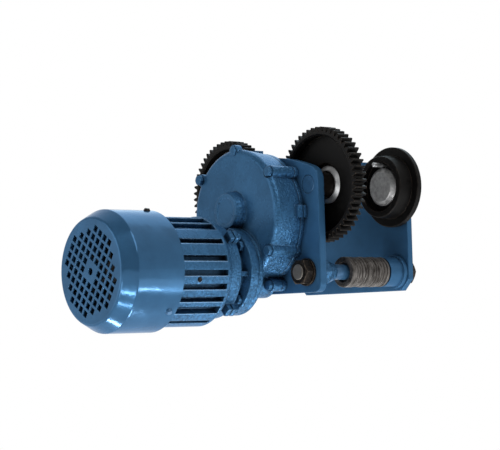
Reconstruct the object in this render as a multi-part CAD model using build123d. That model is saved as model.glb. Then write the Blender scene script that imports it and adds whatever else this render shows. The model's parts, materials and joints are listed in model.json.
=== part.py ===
from build123d import *
from math import acos, atan2, cos, degrees, floor, hypot, pi, radians, sin, sqrt, tan
import os

os.makedirs("parts", exist_ok=True)

# Motorized beam trolley, in millimetres.
# X runs along the beam, Y across it from the motor side to the idle side, and Z is up.
# The origin is on the running surface of the beam flange, midway between the four wheels.

# Wheels, and the beam flange that they run on
WHEELBASE = 189.0
FLANGE_GAP = 109.0
TREAD_R = 42.0
DRIVE_TREAD_END_R = 41.0
IDLE_TREAD_END_R = 40.5
IDLE_FLANGE_R = 53.0
IDLE_FLANGE_T = 7.5
WHEEL_MODULE = 2.75
WHEEL_TEETH = 52
WHEEL_PRESSURE_ANGLE = radians(20)
WHEEL_BACKLASH = 0.45
GEAR_FACE = 18.0
GEAR_RIM_BORE_R = 63.0
GEAR_RIM_CHAMFER = 2.0
WEB_T = 4.0
HUB_MOUTH_R = 28.0
DRIVE_SEAT_INSET = 1.0
END_RECESS_R = 33.0
DRIVE_RECESS = 5.0
IDLE_RECESS = 8.5
EDGE_BREAK = 1.0

# Wheel axles and their ball bearings
AXLE_R = 12.5
AXLE_FOOT_R = 12.0
AXLE_SHOULDER_R = 16.0
AXLE_END = 1.5
WHEEL_BEARING_R = 23.5
WHEEL_BEARING_W = 8.0
WHEEL_BEARING_STEP = 11.0
CIRCLIP_T = 1.2
CIRCLIP_R = 15.2
CIRCLIP_GROOVE = 0.8
CAP_BASE_R = 25.1
CAP_FACE_R = 19.6
DRIVE_CAP_H = 5.0
IDLE_CAP_H = 6.5
SHEET_T = 1.5
SEAL_RING_BASE_R = 24.5
SEAL_RING_LIP_R = 17.7
DRIVE_SEAL_RING_H = 4.7
IDLE_SEAL_RING_H = 3.0

# Side plates
DRIVE_PLATE_T = 10.0
IDLE_PLATE_T = 8.0
DRIVE_PLATE_GAP = 6.0
IDLE_PLATE_GAP = 5.0
DRIVE_PLATE_HALF_W = 114.5
IDLE_PLATE_HALF_W = 112.0
PLATE_TOP_RISE = 41.0
PLATE_SHOULDER_RISE = 18.0
PLATE_DROP = 138.0
PLATE_TOP_FILLET = 20.0
PLATE_FOOT_FILLET = 12.0
IDLE_PLATE_DROP = 137.0
IDLE_PLATE_CUT = 15.0

# Tie shafts that hold the plates together and carry the load
TIE_SPACING = 177.0
TIE_R = 10.0
TIE_HOLE_R = 10.25
TIE_DROP = 112.0
TIE_CHAMFER = 1.5
TIE_POINT = 2.0
NUT_FLATS = 30.0
NUT_CROWN = 0.96
NUT_CROWN_ANGLE = radians(30)
NUT_T = 12.0
LOCK_NUT_T = 10.0
INNER_NUT_T = 19.5
INNER_NOSE_LEN = 12.5
INNER_NOSE_R = 15.5
INNER_NOSE_TIP_R = 11.0
TIE_WASHER_R = 17.6
TIE_WASHER_T = 3.0
COLLAR_R = 19.2
COLLAR_LEN = 27.0
COLLAR_FLANGE_R = 22.0
COLLAR_FLANGE_T = 6.0
SPACER_R = 19.8
SPACER_RADII = (19.8, 19.4, 19.0, 19.6)
SPACER_FIT = 0.08
SPACER_START_Y = -27.7
SPACER_SEAT_T = 9.0
SPACER_SEAT_BORE_R = 13.6
SPACER_THICKNESSES = (4.0, 4.0, 4.0, 4.0, 5.0, 4.0)
SPACER_SEAT_DEPTH = 4.0
SPACER_GAP = 0.5
SPACER_BREAK = 0.4

# Reduction gear: motor pinion, output gear and the pinion between the wheels
GEAR_DEDENDUM = 1.25
PINION_TEETH = 20
INPUT_MODULE = 2.0
INPUT_PRESSURE_ANGLE = radians(25)
INPUT_BACKLASH = 0.35
OUTPUT_TEETH = 66
MOTOR_PINION_TEETH = 12
OUTPUT_GEAR_FACE = 14.0
OUTPUT_GEAR_HUB_R = 24.0
OUTPUT_GEAR_DISH_R = 56.0
OUTPUT_GEAR_DISH = 3.5
OUTPUT_GEAR_INSET = 7.0
OUTPUT_SHAFT_R = 13.0
MOTOR_PINION_INSET = 3.0
PINION_OVERHANG = 1.0

# Gear case
CASE_R = 86.5
CASE_DROP = 5.0
CASE_SLOPE = 5.0
CASE_LOBE_R = 35.0
CASE_WALL = 7.0
CASE_DEPTH = 46.0
CASE_BACK_T = 6.0
CASE_GASKET_T = 1.0
CASE_EDGE_ROUND = 7.0
CASE_BOLT_CIRCLE_R = 86.0
CASE_BOLTS = ((36.5, 4.5), (143.5, 0.0), (215, 0.0), (325, 0.0))
SPOT_FACE_R = 7.6
LOBE_BOLT_X = 40.0
LOBE_BOLT_DROP = 19.5
LOBE_LUG_DEPTH = 15.0
CASE_LUG_R = 8.0
PLUG_CIRCLE_R = 83.7
PLUG_ANGLE = 89
PLUG_LUG = 9.0
PLUG_LEN = 8.0
PLUG_HEAD = 1.5
CASE_BOLT_R = 4.0
CASE_BOLT_FLATS = 12.0
CASE_BOLT_HEAD = 5.5
BOSS_R = 25.0
BOSS_FACE_R = 23.0
BOSS_RIM_R = 16.5
BOSS_H = 14.5
BOSS_DISH = 1.0
BOSS_PLAY = 1.5
NECK_R = 57.0
NECK_H = 7.2
NECK_GROOVE = 2.0
FLARE_START = 18.5
FLARE_MID = 7.4
FLARE_MID_R = 41.6
EAR_LEN = 5.5
EAR_W = 16.0
EAR_T = 8.0
EAR_RISE = 3.6
TOP_EAR_W = 10.0
SLEEVE_R = 29.0
SLEEVE_PLAY = 0.4
SLEEVE_REACH = 4.0

# Motor
SHIELD_FLANGE_T = 12.3
SHIELD_FLANGE_BORE_R = 32.0
LANTERN_TUBE_R = 40.0
LANTERN_LEN = 18.0
LEG_T = 6.0
LEG_IN_R = 36.0
LEG_OUT_R = 57.0
LEG_TOE_R = 50.0
SHIELD_TURN = -5.5
SHIELD_R = 60.5
SHIELD_STEP_R = 62.0
SHIELD_LEN = 25.8
SHIELD_WEB_T = 8.0
SHIELD_EAR_REACH = 70.0
SHIELD_EAR_W = 12.5
SHIELD_EAR_T = 6.0
SHIELD_EAR_STEP = 8.0
SHIELD_SCREW_R = 65.5
SHIELD_SCREW_FLATS = 8.0
SHIELD_SCREW_HEAD = 4.0
SHIELD_BORE_R = 15.0
SHIELD_BEARING_SEAT = 4.0
FLANGE_BOLT_CIRCLE_R = 48.0
HOUSING_R = 60.5
HOUSING_BORE_R = 56.0
HOUSING_LEN = 83.2
RIB_R = 70.0
WIDE_GROOVES = ((90, 35.0), (66, 18.0), (51.6, 13.4), (-46, 12.0))
GROOVE_W = 7.4
GROOVE_ANGLES = (30.5, 11.5, -3.7, -18, -32, -67)
HOUSING_RING = 3.5
EARTH_TURN = -10.5
EARTH_Y = -245.0
EARTH_SCREW_R = 2.7
EARTH_SCREW_H = 1.6
EARTH_SEAT_R = 3.3
EARTH_SEAT = 1.2
CORE_LEN = 56.0
CORE_BORE_R = 33.5
AIR_GAP = 0.5
WINDING_IN_R = 36.0
WINDING_OUT_R = 51.0
WINDING_LEN = 7.0
END_RING_INSET = 2.0
END_RING_T = 8.0
REAR_SHIELD_T = 8.0
REAR_SHIELD_R = 64.0
REAR_HUB_T = 2.0
REAR_SPIGOT = 3.0
REAR_BEARING_SEAT = 11.0
MOTOR_SHAFT_R = 8.5
MOTOR_SHAFT_BORE_R = 10.5
MOTOR_SEAL_R = 15.0
SEAL_PLAY = 0.1
ROTOR_SEAT_R = 12.0
MOTOR_TAIL_R = 8.5
FAN_SEAT_R = 7.0
PINION_SEAT_R = 6.0

# Fan and fan cover
COVER_R = 76.5
COVER_FACE_R = 66.3
COVER_CONE = 18.9
COVER_LEN = 86.5
COVER_OVERLAP = 7.3
COVER_T = 1.6
COVER_ROUND = 4.0
COVER_SCREW_ANGLES = (78, -42, 198)
COVER_SCREW_R = 4.4
COVER_SCREW_TOP_R = 3.0
COVER_SCREW_SHANK_R = 2.0
COVER_SCREW_HEAD = 3.0
COVER_SCREW_LEN = 8.0
GRILLE_PITCH = 11.2
GRILLE_HOLE = 7.9
GRILLE_TURN = -33.0
GRILLE_HALF = 4.5
GRILLE_DIAGONAL = 6.0
GRILLE_EYE_R = 4.6
FAN_R = 60.0
FAN_LEN = 28.0
FAN_BLADES = 7
FAN_SHEET = 2.5
FAN_HUB_R = 14.0
FAN_GAP = 11.0

# Terminal box on the hidden side of the motor
BOX_PAD_X = 74.0
BOX_DEPTH = 28.0
BOX_HALF_Z = 30.0
BOX_LEN = 50.0
BOX_WALL = 3.0
BOX_LID_T = 3.0
BOX_CORNER = 5.0
ENTRY_R = 9.25
ENTRY_BOSS_R = 13.0
ENTRY_BOSS_H = 9.0
LID_SCREW_R = 2.0
LID_SCREW_HEAD_R = 3.8
LID_SCREW_HEAD = 2.0
LID_SCREW_LEN = 8.0
BOARD_T = 6.0
BOARD_LEN = 36.0
BOARD_H = 26.0
BOARD_RISE = 4.0
STUD_R = 2.0
STUD_LEN = 10.0
STUD_PITCH = 12.0
STUD_ROW = 7.0

# Places worked out from the driving dimensions
AXLE_X = WHEELBASE / 2
AXLE_Z = TREAD_R
FLANGE_Y = FLANGE_GAP / 2
GEAR_OUT_Y = -FLANGE_Y - GEAR_FACE
WEB_Y = -FLANGE_Y - WEB_T
DRIVE_SEAT = FLANGE_Y - DRIVE_SEAT_INSET
IDLE_SEAT = FLANGE_Y + IDLE_FLANGE_T
HUB_DEPTH = WHEEL_BEARING_STEP + WHEEL_BEARING_W
DRIVE_PLATE_IN_Y = GEAR_OUT_Y - DRIVE_PLATE_GAP
DRIVE_PLATE_OUT_Y = DRIVE_PLATE_IN_Y - DRIVE_PLATE_T
IDLE_PLATE_IN_Y = IDLE_SEAT + IDLE_PLATE_GAP
IDLE_PLATE_OUT_Y = IDLE_PLATE_IN_Y + IDLE_PLATE_T
TIE_X = TIE_SPACING / 2
TIE_Z = AXLE_Z - TIE_DROP
COLLAR_Y = IDLE_PLATE_IN_Y - COLLAR_LEN

PINION_CENTRE = WHEEL_MODULE * (WHEEL_TEETH + PINION_TEETH) / 2
OUT_Z = AXLE_Z - sqrt(PINION_CENTRE**2 - AXLE_X**2)
CASE_Z = OUT_Z - CASE_DROP
JOINT_Z = CASE_Z - CASE_SLOPE
MOTOR_Z = OUT_Z - INPUT_MODULE * (OUTPUT_TEETH + MOTOR_PINION_TEETH) / 2

CASE_BACK_Y = DRIVE_PLATE_OUT_Y
CASE_GASKET_Y = CASE_BACK_Y - CASE_BACK_T
CASE_Y = CASE_GASKET_Y - CASE_GASKET_T
CASE_FACE_Y = CASE_BACK_Y - CASE_DEPTH
CASE_INNER_Y = CASE_FACE_Y + CASE_WALL
NECK_Y = CASE_FACE_Y - NECK_H

SHIELD_FLANGE_Y = NECK_Y - SHIELD_FLANGE_T
SHIELD_Y = SHIELD_FLANGE_Y - LANTERN_LEN
HOUSING_Y = SHIELD_Y - SHIELD_LEN
HOUSING_REAR_Y = HOUSING_Y - HOUSING_LEN
REAR_SHIELD_Y = HOUSING_REAR_Y - REAR_SHIELD_T
CORE_Y = (HOUSING_Y + HOUSING_REAR_Y) / 2
COVER_RIM_Y = HOUSING_REAR_Y + COVER_OVERLAP
COVER_FACE_Y = COVER_RIM_Y - COVER_LEN
BOX_Y = CORE_Y
FAN_FACE_Y = REAR_SHIELD_Y - FAN_GAP - FAN_LEN
COVER_SCREW_Y = REAR_SHIELD_Y + REAR_SHIELD_T / 2

# Ball bearings as (bore radius, outer radius, width)
OUTPUT_FRONT_BEARING = (7.5, 16.0, 9.0)
OUTPUT_REAR_BEARING = (10.0, 21.0, 12.0)
MOTOR_FRONT_BEARING = (8.5, 20.0, 12.0)
MOTOR_REAR_BEARING = (8.5, 20.0, 12.0)
BEARING_BALLS = 9
BALL_SHARE = 0.29
RACE_GAP_SHARE = 0.62
OUTPUT_FRONT_SEAT = 2.5
OUTPUT_REAR_SEAT = 1.5
BALL_FIT = 0.05
CORNERS = (45, 135, 225, 315)

OUTPUT_FRONT_BEARING_Y = CASE_FACE_Y - OUTPUT_FRONT_SEAT
OUTPUT_REAR_BEARING_Y = DRIVE_PLATE_IN_Y - OUTPUT_REAR_BEARING[2] - OUTPUT_REAR_SEAT
MOTOR_FRONT_BEARING_Y = SHIELD_Y - SHIELD_BEARING_SEAT - MOTOR_FRONT_BEARING[2]
MOTOR_REAR_BEARING_Y = HOUSING_REAR_Y - REAR_BEARING_SEAT


def save(name, *shapes):
    """Write one sub-part, as one solid or as a group of separate solids."""
    solids = [solid for shape in shapes for solid in shape.solids()]
    export_step(solids[0] if len(solids) == 1 else Compound(children=solids), f"parts/{name}.step")


def slab(outline, y_low, y_high):
    """Thicken an outline drawn in X and Z from y_low to y_high."""
    return extrude(Plane.XZ.offset(-y_high) * outline, amount=y_high - y_low, dir=(0, -1, 0))


def rod(x, z, y_low, y_high, radius, bore=0):
    """A round bar or ring along Y."""
    outline = Circle(radius)
    if bore:
        outline -= Circle(bore)
    return slab(Pos(x, z) * outline, y_low, y_high)


def turned(points, x=0, z=0):
    """Turn a closed profile of (radius, y) points about a line along Y."""
    profile = make_face(Polyline(*points, close=True))
    return Pos(x, 0, z) * revolve(profile, Axis.Y)


def polar(radius, angle):
    """A point in X and Z at an angle in degrees from +X."""
    return radius * cos(radians(angle)), radius * sin(radians(angle))


def hexagon(x, z, y_low, y_high, flats, bore=0):
    """A hexagon bar along Y with its corners turned off at both ends, as on a nut."""
    crown_r = NUT_CROWN * flats / 2
    corner_r = flats / sqrt(3)
    fall = (corner_r - crown_r) * tan(NUT_CROWN_ANGLE)
    outline = RegularPolygon(flats / 2, 6, major_radius=False)
    bar = slab(Pos(x, z) * outline, y_low, y_high)
    crown = [(0, y_low), (crown_r, y_low), (corner_r, y_low + fall)]
    crown += [(corner_r, y_high - fall), (crown_r, y_high), (0, y_high)]
    bar &= turned(crown, x, z)
    if bore:
        bar -= rod(x, z, y_low, y_high, bore)
    return bar


def hex_bolt(x, z, seat_y, tip_y, radius, flats, head):
    """A bolt along Y, with its head on the -Y side of its seat."""
    return hexagon(x, z, seat_y - head, seat_y, flats) + rod(x, z, seat_y, tip_y, radius)


def ball_bearing(x, z, y_low, size):
    """The outer race, and the inner race with its balls, of one deep-groove bearing."""
    bore_r, outer_r, width = size
    pitch_r = (bore_r + outer_r) / 2
    ball_r = BALL_SHARE * (outer_r - bore_r)
    gap_r = RACE_GAP_SHARE * ball_r
    middle = Pos(x, y_low + width / 2, z)
    groove = middle * Rot(90, 0, 0) * Torus(pitch_r, ball_r + BALL_FIT)
    outer = rod(x, z, y_low, y_low + width, outer_r, pitch_r + gap_r) - groove
    inner = rod(x, z, y_low, y_low + width, pitch_r - gap_r, bore_r) - groove
    balls = []
    for index in range(BEARING_BALLS):
        ball_x, ball_z = polar(pitch_r, index * 360 / BEARING_BALLS)
        balls.append(middle * Pos(ball_x, 0, ball_z) * Sphere(ball_r))
    return outer, [inner, *balls]


def gear_outline(teeth, module, pressure, backlash, phase):
    """An involute spur gear in X and Z, with one tooth centred on the angle phase."""
    pitch_r = module * teeth / 2
    base_r = pitch_r * cos(pressure)
    tip_r = pitch_r + module
    root_r = pitch_r - GEAR_DEDENDUM * module
    half_pitch = (pi * module / 2 - backlash) / (2 * pitch_r)

    def half_tooth(radius):
        turn = acos(min(1.0, base_r / radius))
        return half_pitch + (tan(pressure) - pressure) - (tan(turn) - turn)

    def point(radius, angle):
        return radius * cos(angle), radius * sin(angle)

    start_r = max(base_r, root_r)
    flank = [(radius, half_tooth(radius)) for radius in (start_r, pitch_r, tip_r)]
    start_half = flank[0][1]
    edges = []
    for index in range(teeth):
        middle = phase + 2 * pi * index / teeth
        rise = [point(radius, middle - half) for radius, half in flank]
        fall = [point(radius, middle + half) for radius, half in reversed(flank)]
        foot = point(root_r, middle + start_half)
        valley = point(root_r, middle + pi / teeth)
        next_foot = point(root_r, middle + 2 * pi / teeth - start_half)
        edges += [ThreePointArc(*rise), ThreePointArc(rise[-1], point(tip_r, middle), fall[0])]
        edges += [ThreePointArc(*fall), ThreePointArc(foot, valley, next_foot)]
        if base_r > root_r:
            edges += [Line(point(root_r, middle - start_half), rise[0]), Line(fall[-1], foot)]
    return make_face(edges)


def mesh_phase(driver_phase, driver_teeth, direction, teeth):
    """The phase that puts a gear's gap on its partner's tooth, along the line of centres."""
    steps = (direction - driver_phase) / (2 * pi / driver_teeth)
    return direction + pi + (steps - floor(steps) + 0.5) * 2 * pi / teeth


def drive_wheel(x, phase):
    """A geared wheel: toothed rim, thin web and conical tread in one casting."""
    floor_y = -(DRIVE_SEAT - HUB_DEPTH)
    end_y = floor_y + DRIVE_RECESS
    teeth = gear_outline(WHEEL_TEETH, WHEEL_MODULE, WHEEL_PRESSURE_ANGLE, WHEEL_BACKLASH, phase)
    rim = slab(Pos(x, AXLE_Z) * (teeth - Circle(GEAR_RIM_BORE_R)), GEAR_OUT_Y, WEB_Y)
    web = slab(Pos(x, AXLE_Z) * (teeth - Circle(HUB_MOUTH_R)), WEB_Y, -FLANGE_Y)
    tread = turned(
        [
            (HUB_MOUTH_R, -FLANGE_Y),
            (TREAD_R, -FLANGE_Y),
            (DRIVE_TREAD_END_R, end_y - EDGE_BREAK),
            (DRIVE_TREAD_END_R - EDGE_BREAK, end_y),
            (END_RECESS_R, end_y),
            (END_RECESS_R, floor_y),
            (WHEEL_BEARING_R, floor_y),
            (WHEEL_BEARING_R, -DRIVE_SEAT),
            (HUB_MOUTH_R, -DRIVE_SEAT),
        ],
        x,
        AXLE_Z,
    )
    mouth = turned(
        [
            (0, GEAR_OUT_Y),
            (GEAR_RIM_BORE_R + GEAR_RIM_CHAMFER, GEAR_OUT_Y),
            (GEAR_RIM_BORE_R, GEAR_OUT_Y + GEAR_RIM_CHAMFER),
            (0, GEAR_OUT_Y + GEAR_RIM_CHAMFER),
        ],
        x,
        AXLE_Z,
    )
    return rim + web + tread - mouth


def idle_wheel(x):
    """A plain wheel: outer flange and conical tread, turned from one casting."""
    floor_y = IDLE_SEAT - HUB_DEPTH
    end_y = floor_y - IDLE_RECESS
    return turned(
        [
            (WHEEL_BEARING_R, floor_y),
            (END_RECESS_R, floor_y),
            (END_RECESS_R, end_y),
            (IDLE_TREAD_END_R - EDGE_BREAK, end_y),
            (IDLE_TREAD_END_R, end_y + EDGE_BREAK),
            (TREAD_R, FLANGE_Y),
            (IDLE_FLANGE_R - EDGE_BREAK, FLANGE_Y),
            (IDLE_FLANGE_R, FLANGE_Y + EDGE_BREAK),
            (IDLE_FLANGE_R, IDLE_SEAT - EDGE_BREAK),
            (IDLE_FLANGE_R - EDGE_BREAK, IDLE_SEAT),
            (WHEEL_BEARING_R, IDLE_SEAT),
        ],
        x,
        AXLE_Z,
    )


def wheel_axle(x, side, seat, plate_in, plate_out):
    """A stub axle, flush with the outside of its plate, with a groove for its circlip."""
    stop = seat - HUB_DEPTH
    end = stop - AXLE_END
    groove_r = AXLE_R - CIRCLIP_GROOVE
    steps = [(0, plate_out), (AXLE_FOOT_R - EDGE_BREAK, plate_out), (AXLE_FOOT_R, plate_out - EDGE_BREAK)]
    steps += [(AXLE_FOOT_R, plate_in), (AXLE_SHOULDER_R, plate_in)]
    steps += [(AXLE_SHOULDER_R, seat), (AXLE_R, seat), (AXLE_R, stop), (groove_r, stop)]
    steps += [(groove_r, stop - CIRCLIP_T), (AXLE_R, stop - CIRCLIP_T), (AXLE_R, end), (0, end)]
    return turned([(radius, side * y) for radius, y in steps], x, AXLE_Z)


def axle_circlip(x, side, seat):
    """A retaining ring in the groove at the end of a wheel axle, with its open gap below."""
    stop = seat - HUB_DEPTH
    low, high = sorted((side * stop, side * (stop - CIRCLIP_T)))
    ring = rod(x, AXLE_Z, low, high, CIRCLIP_R, AXLE_R - CIRCLIP_GROOVE)
    gap = Pos(x, (low + high) / 2, AXLE_Z - AXLE_R) * Box(AXLE_R / 2, 2 * CIRCLIP_T, AXLE_R)
    return ring - gap


def dust_cap(x, side, seat, depth):
    """A pressed cap with a conical edge, over the beam end of a wheel's bore."""
    base = seat - HUB_DEPTH
    face = base - depth
    steps = [(0, face), (CAP_FACE_R, face), (CAP_BASE_R, base - SHEET_T), (CAP_BASE_R, base)]
    steps += [(CAP_BASE_R - 2 * SHEET_T, base), (CAP_FACE_R - SHEET_T / 2, face + SHEET_T)]
    steps += [(0, face + SHEET_T)]
    return turned([(radius, side * y) for radius, y in steps], x, AXLE_Z)


def seal_ring(x, side, seat, height):
    """A dished cover ring on the plate side of a wheel, round the axle's shoulder."""
    top = seat + height
    steps = [(SEAL_RING_BASE_R, seat), (SEAL_RING_BASE_R, seat + SHEET_T)]
    steps += [(SEAL_RING_LIP_R + SHEET_T, top), (SEAL_RING_LIP_R, top)]
    steps += [(SEAL_RING_LIP_R, top - SHEET_T), (SEAL_RING_BASE_R - 2 * SHEET_T, seat)]
    return turned([(radius, side * y) for radius, y in steps], x, AXLE_Z)


def plate_outline(half_w, drop):
    """A side plate in X and Z: arched top with round shoulders, and a straight foot."""
    shoulder = AXLE_Z + PLATE_SHOULDER_RISE
    foot = AXLE_Z - drop
    crown = ThreePointArc((half_w, shoulder), (0, AXLE_Z + PLATE_TOP_RISE), (-half_w, shoulder))
    sides = Polyline((-half_w, shoulder), (-half_w, foot), (half_w, foot), (half_w, shoulder))
    outline = make_face([*crown.edges(), *sides.edges()])
    return fillet(outline.vertices().sort_by(Axis.Y)[2:], PLATE_TOP_FILLET)


def plate_holes():
    """The seats of the wheel axles and the holes for the tie shafts."""
    holes = [Pos(x, AXLE_Z) * Circle(AXLE_FOOT_R) for x in (-AXLE_X, AXLE_X)]
    return holes + [Pos(x, TIE_Z) * Circle(TIE_HOLE_R) for x in (-TIE_X, TIE_X)]


def drive_side_plate():
    """The plate that carries the drive wheels, the gear case and the motor."""
    outline = plate_outline(DRIVE_PLATE_HALF_W, PLATE_DROP)
    outline = fillet(outline.vertices().sort_by(Axis.Y)[:2], PLATE_FOOT_FILLET)
    outline -= Pos(0, OUT_Z) * Circle(SLEEVE_R + SLEEVE_PLAY)
    for hole in plate_holes():
        outline -= hole
    for x, z, seat_y in case_bolt_places():
        outline -= Pos(x, z) * Circle(CASE_BOLT_R)
    return slab(outline, DRIVE_PLATE_OUT_Y, DRIVE_PLATE_IN_Y)


def idle_side_plate():
    """The plate that carries the idle wheels, with its foot corners cut off."""
    outline = plate_outline(IDLE_PLATE_HALF_W, IDLE_PLATE_DROP)
    outline = chamfer(outline.vertices().sort_by(Axis.Y)[:2], IDLE_PLATE_CUT)
    for hole in plate_holes():
        outline -= hole
    return slab(outline, IDLE_PLATE_IN_Y, IDLE_PLATE_OUT_Y)


def tie_shaft(x):
    """A long threaded shaft through both plates, with chamfered ends."""
    low = DRIVE_PLATE_OUT_Y - TIE_WASHER_T - NUT_T - TIE_POINT
    high = IDLE_PLATE_OUT_Y + TIE_WASHER_T + LOCK_NUT_T + TIE_POINT
    point_r = TIE_R - TIE_CHAMFER
    steps = [(0, low), (point_r, low), (TIE_R, low + TIE_CHAMFER), (TIE_R, high - TIE_CHAMFER)]
    steps += [(point_r, high), (0, high)]
    return turned(steps, x, TIE_Z)


def tie_outer_nuts():
    """Full nuts outside the drive plate and thin lock nuts outside the idle plate."""
    nuts = []
    for x in (-TIE_X, TIE_X):
        low = DRIVE_PLATE_OUT_Y - TIE_WASHER_T
        high = IDLE_PLATE_OUT_Y + TIE_WASHER_T
        nuts.append(hexagon(x, TIE_Z, low - NUT_T, low, NUT_FLATS, TIE_R))
        nuts.append(hexagon(x, TIE_Z, high, high + LOCK_NUT_T, NUT_FLATS, TIE_R))
    return nuts


def tie_washers():
    """The flat washers under the outer nuts."""
    washers = []
    for x in (-TIE_X, TIE_X):
        low = DRIVE_PLATE_OUT_Y
        high = IDLE_PLATE_OUT_Y
        washers.append(rod(x, TIE_Z, low - TIE_WASHER_T, low, TIE_WASHER_R, TIE_HOLE_R))
        washers.append(rod(x, TIE_Z, high, high + TIE_WASHER_T, TIE_WASHER_R, TIE_HOLE_R))
    return washers


def tie_inner_nuts():
    """The painted nuts inside the drive plate, each with a conical nose."""
    low = DRIVE_PLATE_IN_Y
    high = low + INNER_NUT_T
    tip = high + INNER_NOSE_LEN
    nuts = []
    for x in (-TIE_X, TIE_X):
        steps = [(TIE_R, high), (INNER_NOSE_R, high), (INNER_NOSE_TIP_R, tip), (TIE_R, tip)]
        nuts.append(hexagon(x, TIE_Z, low, high, NUT_FLATS, TIE_R) + turned(steps, x, TIE_Z))
    return nuts


def tie_collars():
    """The painted flanged collars between the spacer washers and the idle plate."""
    flange_y = IDLE_PLATE_IN_Y - COLLAR_FLANGE_T
    steps = [(TIE_R, COLLAR_Y), (COLLAR_R, COLLAR_Y), (COLLAR_R, flange_y)]
    steps += [(COLLAR_FLANGE_R, flange_y), (COLLAR_FLANGE_R, IDLE_PLATE_IN_Y)]
    steps += [(TIE_R, IDLE_PLATE_IN_Y)]
    return [turned(steps, x, TIE_Z) for x in (-TIE_X, TIE_X)]


def spacer_washer(x, y_low, thickness, radius):
    """One flat washer with broken edges."""
    y_high = y_low + thickness
    bore_r = TIE_R + SPACER_FIT
    steps = [(bore_r, y_low), (radius - SPACER_BREAK, y_low), (radius, y_low + SPACER_BREAK)]
    steps += [(radius, y_high - SPACER_BREAK), (radius - SPACER_BREAK, y_high), (bore_r, y_high)]
    return turned(steps, x, TIE_Z)


def spacer_stack(x):
    """A counterbored end washer and the loose washers that set the width for a beam."""
    y = SPACER_START_Y + SPACER_SEAT_T
    bore_r = TIE_R + SPACER_FIT
    seat_y = SPACER_START_Y + SPACER_SEAT_DEPTH
    steps = [(SPACER_SEAT_BORE_R, SPACER_START_Y), (SPACER_R - SPACER_BREAK, SPACER_START_Y)]
    steps += [(SPACER_R, SPACER_START_Y + SPACER_BREAK), (SPACER_R, y - SPACER_BREAK)]
    steps += [(SPACER_R - SPACER_BREAK, y), (bore_r, y), (bore_r, seat_y)]
    steps += [(SPACER_SEAT_BORE_R, seat_y)]
    washers = [turned(steps, x, TIE_Z)]
    index = 0
    while True:
        thickness = SPACER_THICKNESSES[index % len(SPACER_THICKNESSES)]
        if y + SPACER_GAP + thickness > COLLAR_Y:
            return washers
        radius = SPACER_RADII[index % len(SPACER_RADII)]
        washers.append(spacer_washer(x, y + SPACER_GAP, thickness, radius))
        y += SPACER_GAP + thickness
        index += 1


def case_bolt_places():
    """Where the gear case bolts are in X and Z, and the Y of their seats; the low ones clear the flare."""
    low_seat = CASE_Y - LOBE_LUG_DEPTH
    places = [(side * LOBE_BOLT_X, MOTOR_Z - LOBE_BOLT_DROP, low_seat) for side in (-1, 1)]
    for angle, set_back in CASE_BOLTS:
        x, z = polar(CASE_BOLT_CIRCLE_R, angle)
        places.append((x, CASE_Z + z, CASE_FACE_Y + set_back))
    return places


def plug_place():
    """Where the short plug is, at the top of the gear case."""
    x, z = polar(PLUG_CIRCLE_R, PLUG_ANGLE)
    return x, CASE_Z + z


def case_outline(inset=0.0):
    """The joint of the gear case: a round over the output gear and a lobe at the motor pinion."""
    outline = Pos(0, JOINT_Z) * Circle(CASE_R - inset)
    outline += Pos(0, MOTOR_Z) * Circle(CASE_LOBE_R - inset)
    width = 2 * (CASE_LOBE_R - inset)
    outline += Pos(0, (OUT_Z + MOTOR_Z) / 2) * Rectangle(width, OUT_Z - MOTOR_Z)
    return outline


def lug_outlines():
    """The bolt lugs in X and Z; those beside the motor pinion reach out from its lobe."""
    lugs = []
    for x, z, seat_y in case_bolt_places():
        lug = Pos(x, z) * Circle(CASE_LUG_R)
        if z < MOTOR_Z:
            arm = Pos(x / 2, (z + MOTOR_Z) / 2) * Rot(0, 0, degrees(atan2(z - MOTOR_Z, x)))
            lug += arm * Rectangle(hypot(x, z - MOTOR_Z), 2 * CASE_LUG_R)
        lugs.append(lug)
    return lugs


def case_flange_outline():
    """The joint face of the gear case, with a lug at each bolt."""
    outline = case_outline()
    for lug in lug_outlines():
        outline += lug
    for x, z, seat_y in case_bolt_places():
        outline -= Pos(x, z) * Circle(CASE_BOLT_R)
    return outline


def ear_outline():
    """The ears at the sides and the top of the joint, where the halves of the case are levered apart."""
    outline = Pos(0, CASE_Z) * Rectangle(2 * (CASE_R + EAR_LEN), EAR_W)
    height = CASE_R + EAR_RISE
    return outline + Pos(plug_place()[0], JOINT_Z + height / 2) * Rectangle(TOP_EAR_W, height)


def gear_case_back():
    """The back of the gear case, with ears to lever it off and a sleeve for the bearing."""
    outline = case_flange_outline() + ear_outline()
    bore_r = OUTPUT_REAR_BEARING[1]
    body = slab(outline, CASE_GASKET_Y, CASE_BACK_Y)
    body += rod(0, OUT_Z, CASE_BACK_Y, DRIVE_PLATE_IN_Y + SLEEVE_REACH, SLEEVE_R)
    body -= rod(0, OUT_Z, OUTPUT_REAR_BEARING_Y, DRIVE_PLATE_IN_Y + SLEEVE_REACH, bore_r)
    body -= rod(0, OUT_Z, CASE_GASKET_Y, OUTPUT_REAR_BEARING_Y, bore_r - CASE_WALL)
    return body


def gear_case_gasket():
    """The flat gasket between the two halves of the gear case."""
    return slab(case_flange_outline() - case_outline(CASE_WALL), CASE_Y, CASE_GASKET_Y)


def case_barrel():
    """The round of the gear case, which drops towards its joint, with a rounded front edge."""
    face = Plane.XZ.offset(-CASE_FACE_Y) * Pos(0, CASE_Z) * Circle(CASE_R)
    joint = Plane.XZ.offset(-CASE_Y) * Pos(0, JOINT_Z) * Circle(CASE_R)
    barrel = loft([face, joint])
    return fillet(barrel.edges().group_by(Axis.Y)[0], CASE_EDGE_ROUND)


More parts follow.
